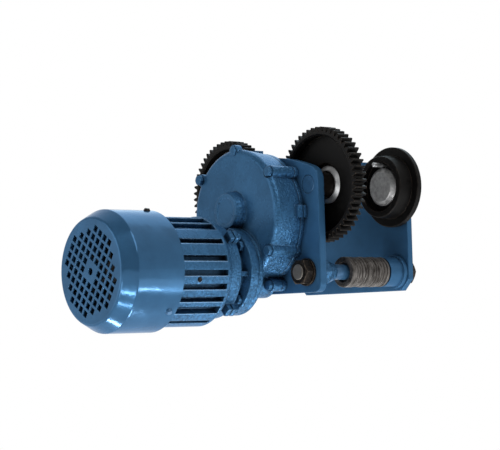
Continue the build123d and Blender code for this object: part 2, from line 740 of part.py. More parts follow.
def gear_case():
    """The cast front of the gear case, with the bearing boss and the neck for the motor."""
    shell = case_barrel()
    lobe = Pos(0, MOTOR_Z) * Circle(CASE_LOBE_R)
    lobe += Pos(0, (OUT_Z + MOTOR_Z) / 2) * Rectangle(2 * CASE_LOBE_R, OUT_Z - MOTOR_Z)
    shell += slab(lobe, CASE_FACE_Y, CASE_Y)
    shell += turned(
        [
            (0, NECK_Y),
            (NECK_R - NECK_GROOVE, NECK_Y),
            (NECK_R - NECK_GROOVE, NECK_Y + NECK_GROOVE),
            (NECK_R, NECK_Y + 2 * NECK_GROOVE),
            (NECK_R, CASE_FACE_Y),
            (FLARE_MID_R, CASE_FACE_Y + FLARE_MID),
            (CASE_LOBE_R, CASE_FACE_Y + FLARE_START),
            (0, CASE_FACE_Y + FLARE_START),
        ],
        0,
        MOTOR_Z,
    )
    for (x, z, seat_y), lug in zip(case_bolt_places(), lug_outlines()):
        if CASE_FACE_Y < seat_y < CASE_INNER_Y:
            shell -= rod(x, z, CASE_FACE_Y, seat_y, SPOT_FACE_R)
        shell += slab(lug, seat_y, CASE_Y)
    plug_x, plug_z = plug_place()
    shell += rod(plug_x, plug_z, CASE_FACE_Y, CASE_FACE_Y + PLUG_LUG, CASE_LUG_R)
    shell += slab(ear_outline(), CASE_Y - EAR_T, CASE_Y)
    face_y = CASE_FACE_Y - BOSS_H
    shell += turned(
        [
            (0, face_y + BOSS_DISH),
            (BOSS_RIM_R, face_y + BOSS_DISH),
            (BOSS_RIM_R + BOSS_DISH, face_y),
            (BOSS_FACE_R, face_y),
            (BOSS_R, CASE_FACE_Y - BOSS_H / 2),
            (BOSS_R + BOSS_DISH, CASE_FACE_Y),
            (0, CASE_FACE_Y),
        ],
        0,
        OUT_Z,
    )
    shell -= slab(case_outline(CASE_WALL), CASE_INNER_Y, CASE_Y)
    shell -= rod(0, OUT_Z, OUTPUT_FRONT_BEARING_Y, CASE_INNER_Y, OUTPUT_FRONT_BEARING[1])
    shell -= rod(0, MOTOR_Z, NECK_Y, NECK_Y + CASE_WALL, MOTOR_SEAL_R)
    shell -= rod(0, MOTOR_Z, NECK_Y, CASE_INNER_Y, MOTOR_SHAFT_BORE_R)
    for x, z, seat_y in case_bolt_places():
        shell -= rod(x, z, seat_y, CASE_Y, CASE_BOLT_R)
    shell -= rod(plug_x, plug_z, CASE_FACE_Y, CASE_FACE_Y + PLUG_LEN, CASE_BOLT_R)
    for x, z in flange_bolt_places():
        shell -= rod(x, z, NECK_Y, NECK_Y + CASE_WALL, CASE_BOLT_R)
    return shell


def gear_case_bolts():
    """Hexagon bolts through the lugs into the plate, and the short plug at the top."""
    bolts = []
    for x, z, seat_y in case_bolt_places():
        bolts.append(hex_bolt(x, z, seat_y, DRIVE_PLATE_IN_Y, CASE_BOLT_R, CASE_BOLT_FLATS, CASE_BOLT_HEAD))
    x, z = plug_place()
    tip_y = CASE_FACE_Y + PLUG_LEN
    bolts.append(hex_bolt(x, z, CASE_FACE_Y, tip_y, CASE_BOLT_R, CASE_BOLT_FLATS, PLUG_HEAD))
    return bolts


def oil_seals():
    """The seal at the output pinion and the seal at the motor shaft."""
    bore_r, outer_r, width = OUTPUT_REAR_BEARING
    low = OUTPUT_REAR_BEARING_Y + width
    high = DRIVE_PLATE_IN_Y + SLEEVE_REACH - EDGE_BREAK
    output = rod(0, OUT_Z, low, high, outer_r, bore_r + SEAL_PLAY)
    low = NECK_Y
    high = NECK_Y + CASE_WALL
    return [output, rod(0, MOTOR_Z, low, high, MOTOR_SEAL_R, MOTOR_SHAFT_R + SEAL_PLAY)]


def output_shaft():
    """The output shaft, stepped for its bearings, its gear and its pinion."""
    front_r = OUTPUT_FRONT_BEARING[0]
    rear_r = OUTPUT_REAR_BEARING[0]
    front_end = OUTPUT_FRONT_BEARING_Y + EDGE_BREAK
    front_stop = OUTPUT_FRONT_BEARING_Y + OUTPUT_FRONT_BEARING[2]
    groove_r = rear_r - CIRCLIP_GROOVE
    steps = [(0, front_end), (front_r, front_end), (front_r, front_stop), (OUTPUT_SHAFT_R, front_stop)]
    steps += [(OUTPUT_SHAFT_R, OUTPUT_REAR_BEARING_Y), (rear_r, OUTPUT_REAR_BEARING_Y)]
    steps += [(rear_r, -FLANGE_Y), (groove_r, -FLANGE_Y), (groove_r, -FLANGE_Y + CIRCLIP_T)]
    steps += [(rear_r, -FLANGE_Y + CIRCLIP_T), (rear_r, -FLANGE_Y + AXLE_END)]
    steps += [(0, -FLANGE_Y + AXLE_END)]
    return turned(steps, 0, OUT_Z)


def output_gear():
    """The large gear on the output shaft, dished on both faces."""
    low = CASE_INNER_Y + OUTPUT_GEAR_INSET
    high = low + OUTPUT_GEAR_FACE
    outline = gear_outline(
        OUTPUT_TEETH, INPUT_MODULE, INPUT_PRESSURE_ANGLE, INPUT_BACKLASH, OUTPUT_PHASE
    )
    gear = slab(Pos(0, OUT_Z) * (outline - Circle(OUTPUT_SHAFT_R)), low, high)
    for y in (low, high - OUTPUT_GEAR_DISH):
        gear -= rod(0, OUT_Z, y, y + OUTPUT_GEAR_DISH, OUTPUT_GEAR_DISH_R, OUTPUT_GEAR_HUB_R)
    return gear


def output_pinion():
    """The pinion that drives both geared wheels."""
    outline = gear_outline(
        PINION_TEETH, WHEEL_MODULE, WHEEL_PRESSURE_ANGLE, WHEEL_BACKLASH, PINION_PHASE
    )
    bore_r = OUTPUT_REAR_BEARING[0]
    return slab(Pos(0, OUT_Z) * (outline - Circle(bore_r)), GEAR_OUT_Y - PINION_OVERHANG, -FLANGE_Y)


def pinion_circlip():
    """The retaining ring on the beam end of the output shaft."""
    bore_r = OUTPUT_REAR_BEARING[0] - CIRCLIP_GROOVE
    ring = rod(0, OUT_Z, -FLANGE_Y, -FLANGE_Y + CIRCLIP_T, CIRCLIP_R, bore_r)
    gap = Pos(0, -FLANGE_Y, OUT_Z - bore_r) * Box(bore_r / 2, 3 * CIRCLIP_T, bore_r)
    return ring - gap


def flange_bolt_places():
    """Where the four bolts are that join the motor to the gear case."""
    places = []
    for angle in CORNERS:
        x, z = polar(FLANGE_BOLT_CIRCLE_R, angle + SHIELD_TURN)
        places.append((x, MOTOR_Z + z))
    return places


def motor_front_shield():
    """The motor's front end shield, with a ribbed lantern and the flange on the gear case."""
    rear_r = HOUSING_BORE_R
    flange = rod(0, MOTOR_Z, SHIELD_FLANGE_Y, NECK_Y, NECK_R, SHIELD_FLANGE_BORE_R)
    for x, z in flange_bolt_places():
        flange -= rod(x, z, SHIELD_FLANGE_Y, NECK_Y, CASE_BOLT_R)
    flange -= rod(0, OUT_Z, SHIELD_FLANGE_Y, NECK_Y, BOSS_R + BOSS_PLAY)
    shield = turned(
        [
            (MOTOR_FRONT_BEARING[1], SHIELD_Y),
            (SHIELD_R - EDGE_BREAK, SHIELD_Y),
            (SHIELD_R, SHIELD_Y - EDGE_BREAK),
            (SHIELD_R, HOUSING_Y + SHIELD_LEN / 3),
            (SHIELD_STEP_R, HOUSING_Y + SHIELD_LEN / 3),
            (SHIELD_STEP_R, HOUSING_Y),
            (rear_r, HOUSING_Y),
            (rear_r, SHIELD_Y - SHIELD_WEB_T),
            (MOTOR_FRONT_BEARING[1] + CASE_WALL, SHIELD_Y - SHIELD_WEB_T),
            (MOTOR_FRONT_BEARING[1] + CASE_WALL, HOUSING_Y + EDGE_BREAK),
            (MOTOR_FRONT_BEARING[1], HOUSING_Y + EDGE_BREAK),
        ],
        0,
        MOTOR_Z,
    )
    shield += rod(0, MOTOR_Z, SHIELD_Y - SHEET_T, SHIELD_Y, MOTOR_FRONT_BEARING[1], SHIELD_BORE_R)
    shield += rod(0, MOTOR_Z, SHIELD_Y, SHIELD_FLANGE_Y, LANTERN_TUBE_R, SHIELD_FLANGE_BORE_R)
    gusset = Polyline(
        (LEG_IN_R, SHIELD_Y),
        (LEG_OUT_R, SHIELD_Y),
        (LEG_TOE_R, SHIELD_FLANGE_Y),
        (LEG_IN_R, SHIELD_FLANGE_Y),
        close=True,
    )
    leg = extrude(make_face(gusset), amount=LEG_T / 2, both=True)
    ear_r = (HOUSING_BORE_R + SHIELD_EAR_REACH) / 2
    ear = Box(SHIELD_EAR_REACH - HOUSING_BORE_R, SHIELD_EAR_T, SHIELD_EAR_W)
    for corner in CORNERS:
        axis = Pos(0, 0, MOTOR_Z) * Rot(0, -corner - SHIELD_TURN, 0)
        shield += axis * Rot(0, CORNERS[0], 0) * leg
        for step in range(2):
            shield += axis * Pos(ear_r, SHIELD_Y - SHIELD_EAR_T / 2 - step * SHIELD_EAR_STEP, 0) * ear
    return shield + flange


def motor_flange_bolts():
    """The bolts through the motor flange, with their heads in the lantern."""
    return [
        hex_bolt(
            x, z, SHIELD_FLANGE_Y, NECK_Y + CASE_WALL, CASE_BOLT_R, CASE_BOLT_FLATS, CASE_BOLT_HEAD
        )
        for x, z in flange_bolt_places()
    ]


def shield_screws():
    """The screws that pull the front shield's ears on to the motor housing."""
    screws = []
    for angle in CORNERS:
        x, z = polar(SHIELD_SCREW_R, angle + SHIELD_TURN)
        top = SHIELD_Y + SHIELD_SCREW_HEAD
        screws.append(hexagon(x, MOTOR_Z + z, SHIELD_Y, top, SHIELD_SCREW_FLATS))
    return screws


def motor_housing():
    """The ribbed motor housing, with a seat for the earth screw and a pad for the terminal box."""
    housing = rod(0, MOTOR_Z, HOUSING_REAR_Y, HOUSING_Y, RIB_R)
    length = HOUSING_LEN - HOUSING_RING
    depth = RIB_R - HOUSING_R
    grooves = WIDE_GROOVES + tuple((angle, GROOVE_W) for angle in GROOVE_ANGLES)
    for angle, width in grooves:
        groove = Pos(RIB_R, HOUSING_REAR_Y + length / 2, 0) * Box(2 * depth, length, width)
        for turn in (angle, 180 - angle):
            housing -= Pos(0, 0, MOTOR_Z) * Rot(0, -turn, 0) * groove
    pad_x = (HOUSING_BORE_R + BOX_PAD_X) / 2
    pad = Box(BOX_PAD_X - HOUSING_BORE_R, BOX_LEN, 2 * BOX_HALF_Z)
    housing += Pos(-pad_x, BOX_Y, MOTOR_Z) * pad
    seat = Pos(RIB_R, EARTH_Y, 0) * Rot(0, 90, 0) * Cylinder(EARTH_SEAT_R, 2 * EARTH_SEAT)
    housing -= Pos(0, 0, MOTOR_Z) * Rot(0, -EARTH_TURN, 0) * seat
    return housing - rod(0, MOTOR_Z, HOUSING_REAR_Y, HOUSING_Y, HOUSING_BORE_R)


def earth_screw():
    """The slotted screw for the earth lead, in its seat on a rib."""
    middle = RIB_R - EARTH_SEAT + EARTH_SCREW_H / 2
    head = Pos(middle, EARTH_Y, 0) * Rot(0, 90, 0) * Cylinder(EARTH_SCREW_R, EARTH_SCREW_H)
    head -= Pos(RIB_R, EARTH_Y, 0) * Box(EARTH_SCREW_H, 3 * EARTH_SCREW_R, EARTH_SCREW_H / 2)
    return Pos(0, 0, MOTOR_Z) * Rot(0, -EARTH_TURN, 0) * head


def stator_core():
    """The laminated stator core."""
    low = CORE_Y - CORE_LEN / 2
    return rod(0, MOTOR_Z, low, low + CORE_LEN, HOUSING_BORE_R, CORE_BORE_R)


def stator_windings():
    """The end turns of the winding, a rounded ring at each end of the core."""
    rings = []
    for side in (-1, 1):
        near = CORE_Y + side * CORE_LEN / 2
        far = near + side * WINDING_LEN
        round_y = far - side * EDGE_BREAK * 2
        steps = [(WINDING_IN_R, near), (WINDING_OUT_R, near), (WINDING_OUT_R, round_y)]
        steps += [(WINDING_OUT_R - 2 * EDGE_BREAK, far), (WINDING_IN_R + 2 * EDGE_BREAK, far)]
        steps += [(WINDING_IN_R, round_y)]
        rings.append(turned(steps, 0, MOTOR_Z))
    return rings


def rotor_core():
    """The squirrel-cage rotor, with its end rings."""
    low = CORE_Y - CORE_LEN / 2
    high = CORE_Y + CORE_LEN / 2
    core = rod(0, MOTOR_Z, low, high, CORE_BORE_R - AIR_GAP, ROTOR_SEAT_R)
    for y_low, y_high in ((low - WINDING_LEN, low), (high, high + WINDING_LEN)):
        ring_r = CORE_BORE_R - END_RING_INSET
        core += rod(0, MOTOR_Z, y_low, y_high, ring_r, ring_r - END_RING_T)
    return core


def motor_shaft():
    """The motor shaft, from the pinion seat in the gear case to the fan seat."""
    tip = CASE_Y - EDGE_BREAK
    pinion_stop = CASE_INNER_Y + MOTOR_PINION_INSET
    front_stop = MOTOR_FRONT_BEARING_Y
    rear_stop = MOTOR_REAR_BEARING_Y + MOTOR_REAR_BEARING[2]
    tail = FAN_FACE_Y + EDGE_BREAK
    steps = [(0, tip), (PINION_SEAT_R, tip), (PINION_SEAT_R, pinion_stop)]
    steps += [(MOTOR_SHAFT_R, pinion_stop), (MOTOR_SHAFT_R, front_stop), (ROTOR_SEAT_R, front_stop)]
    steps += [(ROTOR_SEAT_R, rear_stop), (MOTOR_TAIL_R, rear_stop)]
    steps += [(MOTOR_TAIL_R, MOTOR_REAR_BEARING_Y), (FAN_SEAT_R, MOTOR_REAR_BEARING_Y)]
    steps += [(FAN_SEAT_R, tail), (0, tail)]
    return turned(steps, 0, MOTOR_Z)


def motor_pinion():
    """The small pinion on the motor shaft."""
    outline = gear_outline(
        MOTOR_PINION_TEETH, INPUT_MODULE, INPUT_PRESSURE_ANGLE, INPUT_BACKLASH, MOTOR_PHASE
    )
    low = CASE_INNER_Y + MOTOR_PINION_INSET
    high = low + OUTPUT_GEAR_FACE + 2 * (OUTPUT_GEAR_INSET - MOTOR_PINION_INSET)
    return slab(Pos(0, MOTOR_Z) * (outline - Circle(PINION_SEAT_R)), low, high)


def cover_screw_axis(angle):
    """A place on the skirt of the fan cover, with local X outwards through a cover screw."""
    return Pos(0, COVER_SCREW_Y, MOTOR_Z) * Rot(0, -angle, 0)


def cover_screw_shank(length):
    """The shank of a cover screw, from the outside of the cover inwards."""
    return Pos(COVER_R - length / 2, 0, 0) * Rot(0, 90, 0) * Cylinder(COVER_SCREW_SHANK_R, length)


def motor_rear_shield():
    """The rear end shield, with three lugs that carry the fan cover."""
    outer_r = MOTOR_REAR_BEARING[1]
    hub_r = outer_r + CASE_WALL
    hub_y = MOTOR_REAR_BEARING_Y - REAR_HUB_T
    disc = rod(0, MOTOR_Z, REAR_SHIELD_Y, HOUSING_REAR_Y, REAR_SHIELD_R)
    disc += rod(0, MOTOR_Z, hub_y, HOUSING_REAR_Y + REAR_SPIGOT, hub_r)
    lug_end = COVER_R - COVER_T
    lug_len = lug_end - HOUSING_BORE_R
    lug = Pos(HOUSING_BORE_R + lug_len / 2, 0, 0) * Box(lug_len, REAR_SHIELD_T, 2 * REAR_SHIELD_T)
    limit = rod(0, MOTOR_Z, REAR_SHIELD_Y, HOUSING_REAR_Y, lug_end)
    for angle in COVER_SCREW_ANGLES:
        disc += (cover_screw_axis(angle) * lug) & limit
        disc -= cover_screw_axis(angle) * cover_screw_shank(COVER_SCREW_LEN)
    disc -= rod(0, MOTOR_Z, MOTOR_REAR_BEARING_Y, HOUSING_REAR_Y + REAR_SPIGOT, outer_r)
    disc -= rod(0, MOTOR_Z, hub_y, MOTOR_REAR_BEARING_Y, outer_r / 2)
    return disc


def cooling_fan():
    """The radial fan on the tail of the motor shaft."""
    back_y = FAN_FACE_Y + FAN_LEN
    fan = rod(0, MOTOR_Z, FAN_FACE_Y, back_y, FAN_HUB_R)
    fan += rod(0, MOTOR_Z, back_y - FAN_SHEET, back_y, FAN_R)
    blade_r = (FAN_R + FAN_SEAT_R) / 2
    blade = Pos(blade_r, FAN_FACE_Y + FAN_LEN / 2, 0)
    blade *= Box(FAN_R - FAN_SEAT_R - 2 * FAN_SHEET, FAN_LEN, FAN_SHEET)
    for index in range(FAN_BLADES):
        fan += Pos(0, 0, MOTOR_Z) * Rot(0, index * 360 / FAN_BLADES, 0) * blade
    return fan - rod(0, MOTOR_Z, FAN_FACE_Y, back_y, FAN_SEAT_R)


def grille_holes():
    """The square holes of the fan cover: a turned square grid with its corners left off."""
    holes = Circle(GRILLE_EYE_R)
    count = int(2 * GRILLE_HALF) + 1
    steps = [index - GRILLE_HALF for index in range(count)]
    for across in steps:
        for down in steps:
            in_middle = abs(across) < 1 and abs(down) < 1
            if abs(across) + abs(down) <= GRILLE_DIAGONAL and not in_middle:
                place = Pos(across * GRILLE_PITCH, down * GRILLE_PITCH)
                holes += place * Rectangle(GRILLE_HOLE, GRILLE_HOLE)
    return Rot(0, 0, GRILLE_TURN) * holes


def fan_cover():
    """The pressed fan cover: round skirt, conical shoulder and a flat grille face."""
    face_y = COVER_FACE_Y
    cone_y = COVER_FACE_Y + COVER_CONE
    outside = FilletPolyline(
        (0, face_y),
        (COVER_FACE_R, face_y),
        (COVER_R, cone_y),
        (COVER_R, COVER_RIM_Y),
        radius=COVER_ROUND,
    )
    inside = FilletPolyline(
        (0, face_y + COVER_T),
        (COVER_FACE_R - COVER_T / 2, face_y + COVER_T),
        (COVER_R - COVER_T, cone_y + COVER_T / 2),
        (COVER_R - COVER_T, COVER_RIM_Y),
        radius=COVER_ROUND - COVER_T,
    )
    rim = Line((COVER_R, COVER_RIM_Y), (COVER_R - COVER_T, COVER_RIM_Y))
    axis = Line((0, face_y), (0, face_y + COVER_T))
    profile = make_face([*outside.edges(), *inside.edges(), rim, axis])
    cover = Pos(0, 0, MOTOR_Z) * revolve(profile, Axis.Y)
    cover -= slab(Pos(0, MOTOR_Z) * grille_holes(), face_y, face_y + COVER_T)
    for angle in COVER_SCREW_ANGLES:
        cover -= cover_screw_axis(angle) * cover_screw_shank(COVER_SCREW_LEN)
    return cover


def fan_cover_screws():
    """Domed screws that hold the fan cover on the lugs of the rear shield."""
    base = (Align.CENTER, Align.CENTER, Align.MIN)
    head = Cone(COVER_SCREW_R, COVER_SCREW_TOP_R, COVER_SCREW_HEAD, align=base)
    screw = Pos(COVER_R, 0, 0) * Rot(0, 90, 0) * head + cover_screw_shank(COVER_SCREW_LEN)
    return [cover_screw_axis(angle) * screw for angle in COVER_SCREW_ANGLES]


def terminal_box():
    """The terminal box, open towards its lid, with a threaded cable entry below."""
    outline = RectangleRounded(BOX_LEN, 2 * BOX_HALF_Z, BOX_CORNER)
    cavity = RectangleRounded(BOX_LEN - 2 * BOX_WALL, 2 * (BOX_HALF_Z - BOX_WALL), BOX_CORNER - BOX_WALL)
    plane = Plane(origin=(-BOX_PAD_X, BOX_Y, MOTOR_Z), x_dir=(0, 1, 0), z_dir=(-1, 0, 0))
    box = extrude(plane * outline, amount=BOX_DEPTH)
    box -= extrude(plane.offset(BOX_WALL) * cavity, amount=BOX_DEPTH - BOX_WALL)
    for across, down in lid_screw_places():
        post = Pos(across, down) * Circle(2 * LID_SCREW_R)
        box += extrude(plane * (post & outline), amount=BOX_DEPTH)
    entry_z = MOTOR_Z - BOX_HALF_Z
    place = Pos(-BOX_PAD_X - BOX_DEPTH / 2, BOX_Y, entry_z)
    boss = Cylinder(ENTRY_BOSS_R, ENTRY_BOSS_H, align=(Align.CENTER, Align.CENTER, Align.MAX))
    bore = Cylinder(ENTRY_R, 2 * (ENTRY_BOSS_H + BOX_WALL))
    box += place * boss
    box -= place * bore
    for across, down in lid_screw_places():
        hole = plane.offset(BOX_DEPTH - LID_SCREW_LEN) * (Pos(across, down) * Circle(LID_SCREW_R))
        box -= extrude(hole, amount=LID_SCREW_LEN)
    return box


def lid_screw_places():
    """The four corners of the terminal box where its lid is screwed down."""
    across = BOX_LEN / 2 - BOX_CORNER
    down = BOX_HALF_Z - BOX_CORNER
    return [(side * across, end * down) for side in (-1, 1) for end in (-1, 1)]


def terminal_box_lid():
    """The flat lid of the terminal box."""
    outline = RectangleRounded(BOX_LEN, 2 * BOX_HALF_Z, BOX_CORNER)
    for across, down in lid_screw_places():
        outline -= Pos(across, down) * Circle(LID_SCREW_R)
    origin = (-BOX_PAD_X - BOX_DEPTH, BOX_Y, MOTOR_Z)
    lid = extrude(Plane(origin=origin, x_dir=(0, 1, 0), z_dir=(-1, 0, 0)) * outline, amount=BOX_LID_T)
    return chamfer(lid.faces().sort_by(Axis.X)[0].outer_wire().edges(), EDGE_BREAK)


def terminal_lid_screws():
    """The four screws of the terminal box lid."""
    screws = []
    origin = (-BOX_PAD_X - BOX_DEPTH - BOX_LID_T, BOX_Y, MOTOR_Z)
    plane = Plane(origin=origin, x_dir=(0, 1, 0), z_dir=(-1, 0, 0))
    for across, down in lid_screw_places():
        head = extrude(plane * (Pos(across, down) * Circle(LID_SCREW_HEAD_R)), amount=LID_SCREW_HEAD)
        length = BOX_LID_T + LID_SCREW_LEN
        shank = extrude(plane * (Pos(across, down) * Circle(LID_SCREW_R)), amount=-length)
        screws.append(head + shank)
    return screws


def terminal_board():
    """The insulating board in the terminal box, with its six studs."""
    floor_x = -BOX_PAD_X - BOX_WALL
    middle_z = MOTOR_Z + BOARD_RISE
    board = Pos(floor_x - BOARD_T / 2, BOX_Y, middle_z) * Box(BOARD_T, BOARD_LEN, BOARD_H)
    for across in (-STUD_PITCH, 0, STUD_PITCH):
        for down in (-STUD_ROW, STUD_ROW):
            foot = Pos(floor_x - BOARD_T - STUD_LEN / 2, BOX_Y + across, middle_z + down)
            board += foot * Rot(0, 90, 0) * Cylinder(STUD_R, STUD_LEN)
    return board


WHEEL_DIRECTION = atan2(AXLE_Z - OUT_Z, AXLE_X)
PINION_PHASE = WHEEL_DIRECTION
FRONT_PHASE = mesh_phase(PINION_PHASE, PINION_TEETH, WHEEL_DIRECTION, WHEEL_TEETH)
REAR_PHASE = mesh_phase(PINION_PHASE, PINION_TEETH, pi - WHEEL_DIRECTION, WHEEL_TEETH)
OUTPUT_PHASE = -pi / 2
MOTOR_PHASE = mesh_phase(OUTPUT_PHASE, OUTPUT_TEETH, -pi / 2, MOTOR_PINION_TEETH)

# Wheels with what turns with them, at the front (+X) and the rear of each side
WHEEL_BEARING = (AXLE_R, WHEEL_BEARING_R, WHEEL_BEARING_W)
WHEEL_SIDES = (
    ("drive", -1, DRIVE_SEAT, DRIVE_CAP_H, DRIVE_SEAL_RING_H),
    ("idle", 1, IDLE_SEAT, IDLE_CAP_H, IDLE_SEAL_RING_H),
)
wheel_inner_races = []
circlips = []
for end, x, phase in (("front", AXLE_X, FRONT_PHASE), ("rear", -AXLE_X, REAR_PHASE)):
    save(f"drive_wheel_{end}", drive_wheel(x, phase))
    save(f"idle_wheel_{end}", idle_wheel(x))
    for kind, side, seat, cap_h, ring_h in WHEEL_SIDES:
        outer_races = []
        for place in range(2):
            start = seat - WHEEL_BEARING_W - place * WHEEL_BEARING_STEP
            y_low = min(side * start, side * (start + WHEEL_BEARING_W))
            outer, inner = ball_bearing(x, AXLE_Z, y_low, WHEEL_BEARING)
            outer_races.append(outer)
            wheel_inner_races += inner
        save(f"{kind}_wheel_{end}_bearing_races", *outer_races)
        save(f"{kind}_wheel_{end}_dust_cap", dust_cap(x, side, seat, cap_h))
        save(f"{kind}_wheel_{end}_seal_ring", seal_ring(x, side, seat, ring_h))
        circlips.append(axle_circlip(x, side, seat))
for end, x in (("front", TIE_X), ("rear", -TIE_X)):
    save(f"tie_shaft_{end}", tie_shaft(x))
    save(f"spacer_washers_{end}", *spacer_stack(x))
save("wheel_bearing_inner_races", *wheel_inner_races)
save("axle_circlips", *circlips)

# Frame
save("drive_side_plate", drive_side_plate())
save("idle_side_plate", idle_side_plate())
drive_axle_size = (-1, DRIVE_SEAT, -DRIVE_PLATE_IN_Y, -DRIVE_PLATE_OUT_Y)
idle_axle_size = (1, IDLE_SEAT, IDLE_PLATE_IN_Y, IDLE_PLATE_OUT_Y)
save("drive_wheel_axles", *[wheel_axle(x, *drive_axle_size) for x in (-AXLE_X, AXLE_X)])
save("idle_wheel_axles", *[wheel_axle(x, *idle_axle_size) for x in (-AXLE_X, AXLE_X)])
save("tie_shaft_outer_nuts", *tie_outer_nuts())
save("tie_shaft_washers", *tie_washers())
save("tie_shaft_inner_nuts", *tie_inner_nuts())
save("tie_shaft_collars", *tie_collars())

# Gear case and the output shaft
save("gear_case_back", gear_case_back())
save("gear_case_gasket", gear_case_gasket())
save("gear_case", gear_case())
save("gear_case_bolts", *gear_case_bolts())
save("oil_seals", *oil_seals())
front_outer, front_inner = ball_bearing(0, OUT_Z, OUTPUT_FRONT_BEARING_Y, OUTPUT_FRONT_BEARING)
rear_outer, rear_inner = ball_bearing(0, OUT_Z, OUTPUT_REAR_BEARING_Y, OUTPUT_REAR_BEARING)
shaft_outer_races = [front_outer, rear_outer]
save("output_bearing_inner_races", *front_inner, *rear_inner)
save("output_shaft", output_shaft())
save("output_gear", output_gear())
save("output_pinion", output_pinion())
save("pinion_circlip", pinion_circlip())

# Motor
save("motor_front_shield", motor_front_shield())
save("motor_flange_bolts", *motor_flange_bolts())
save("shield_screws", *shield_screws())
save("motor_housing", motor_housing())
save("earth_screw", earth_screw())
save("stator_core", stator_core())
save("stator_windings", *stator_windings())
save("motor_rear_shield", motor_rear_shield())
front_outer, front_inner = ball_bearing(0, MOTOR_Z, MOTOR_FRONT_BEARING_Y, MOTOR_FRONT_BEARING)
rear_outer, rear_inner = ball_bearing(0, MOTOR_Z, MOTOR_REAR_BEARING_Y, MOTOR_REAR_BEARING)
shaft_outer_races += [front_outer, rear_outer]
save("shaft_bearing_outer_races", *shaft_outer_races)
save("motor_bearing_inner_races", *front_inner, *rear_inner)
save("motor_shaft", motor_shaft())
save("motor_pinion", motor_pinion())
save("rotor_core", rotor_core())
save("cooling_fan", cooling_fan())
save("fan_cover", fan_cover())
save("fan_cover_screws", *fan_cover_screws())
save("terminal_box", terminal_box())
save("terminal_box_lid", terminal_box_lid())
save("terminal_lid_screws", *terminal_lid_screws())
save("terminal_board", terminal_board())
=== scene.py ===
# %% [markdown]
# # A motorized beam trolley
#
# This trolley hangs from the lower flange of an I-beam. A flange motor and a gear case on one side
# plate turn two geared wheels, two plain wheels run on the other side, and two tie shafts with
# loose spacer washers join the plates. The solids come from CAD, so this lesson is about the rest:
# paint, bare metal, rust, small dressing pieces, light and camera.

# %% Load the CAD frame
import json
import math

import bmesh
import bpy
from mathutils import Matrix, Vector


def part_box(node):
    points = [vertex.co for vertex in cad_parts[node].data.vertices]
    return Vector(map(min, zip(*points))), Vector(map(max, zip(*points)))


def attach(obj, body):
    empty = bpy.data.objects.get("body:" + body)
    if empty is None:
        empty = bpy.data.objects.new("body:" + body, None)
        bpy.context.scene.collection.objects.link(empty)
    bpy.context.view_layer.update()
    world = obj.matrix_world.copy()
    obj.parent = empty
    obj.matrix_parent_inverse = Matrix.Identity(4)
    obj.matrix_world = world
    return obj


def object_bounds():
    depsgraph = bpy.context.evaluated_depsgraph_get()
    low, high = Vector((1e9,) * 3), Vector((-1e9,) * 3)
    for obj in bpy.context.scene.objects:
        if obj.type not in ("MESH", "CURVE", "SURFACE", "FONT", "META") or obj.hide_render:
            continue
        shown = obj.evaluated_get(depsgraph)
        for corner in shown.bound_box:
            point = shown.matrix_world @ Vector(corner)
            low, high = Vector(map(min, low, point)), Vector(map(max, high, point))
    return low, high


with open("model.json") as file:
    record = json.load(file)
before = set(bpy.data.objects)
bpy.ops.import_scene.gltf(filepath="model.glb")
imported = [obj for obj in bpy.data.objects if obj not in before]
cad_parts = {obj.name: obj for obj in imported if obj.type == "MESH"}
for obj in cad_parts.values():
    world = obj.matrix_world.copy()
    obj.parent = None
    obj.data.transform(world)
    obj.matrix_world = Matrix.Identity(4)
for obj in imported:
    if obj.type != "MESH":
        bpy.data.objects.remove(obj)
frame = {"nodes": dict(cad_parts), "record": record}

nodes = frame["nodes"]
cad_low, cad_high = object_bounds()
print("CAD nodes:", len(nodes), "box:", [round(v, 4) for v in (*cad_low, *cad_high)])

# %% [markdown]
# ## Helpers
#
# Colours are written as sRGB hex values, as a paint chart gives them, and one function turns them
# to the linear values that shaders use. One more function adds a shader node: keyword settings go
# on the node itself, and each input is either a plain value or an output socket to link. A Mix node
# keeps sockets for every type of data, so those for colours are reached by their places, which are
# named here. Sizes of patterns are written in millimetres.

# %% Colour and shader helpers
MM = 0.001
SHARE, FIRST, SECOND, MIXED = 0, 6, 7, 2


def linear(hex_colour, share=1.0):
    """An sRGB hex colour as linear RGBA by the sRGB curve, darkened to a share of its light."""
    channels = [int(hex_colour[place:place + 2], 16) / 255 for place in (1, 3, 5)]
    flat = [c / 12.92 if c <= 0.04045 else ((c + 0.055) / 1.055) ** 2.4 for c in channels]
    return (*[share * c for c in flat], 1.0)


def add_node(tree, kind, inputs=None, **settings):
    """Add a shader node, set its properties, and set or link its inputs."""
    node = tree.nodes.new(kind)
    for name, value in settings.items():
        setattr(node, name, value)
    for name, value in (inputs or {}).items():
        if isinstance(value, bpy.types.NodeSocket):
            tree.links.new(value, node.inputs[name])
        else:
            node.inputs[name].default_value = value
    return node


def per_metre(size_mm):
    """The texture scale that gives a pattern of this size, since object coordinates are metres."""
    return 1.0 / (size_mm * MM)


def new_surface(name, **sockets):
    """A material with one Principled shader, and its tree and object coordinates."""
    material = bpy.data.materials.new(name)
    material.use_nodes = True
    tree = material.node_tree
    shader = tree.nodes["Principled BSDF"]
    for socket, value in sockets.items():
        shader.inputs[socket.replace("_", " ")].default_value = value
    place = add_node(tree, "ShaderNodeTexCoord").outputs["Object"]
    return material, tree, shader, place


print("texture scale of a 1 mm pattern:", per_metre(1))

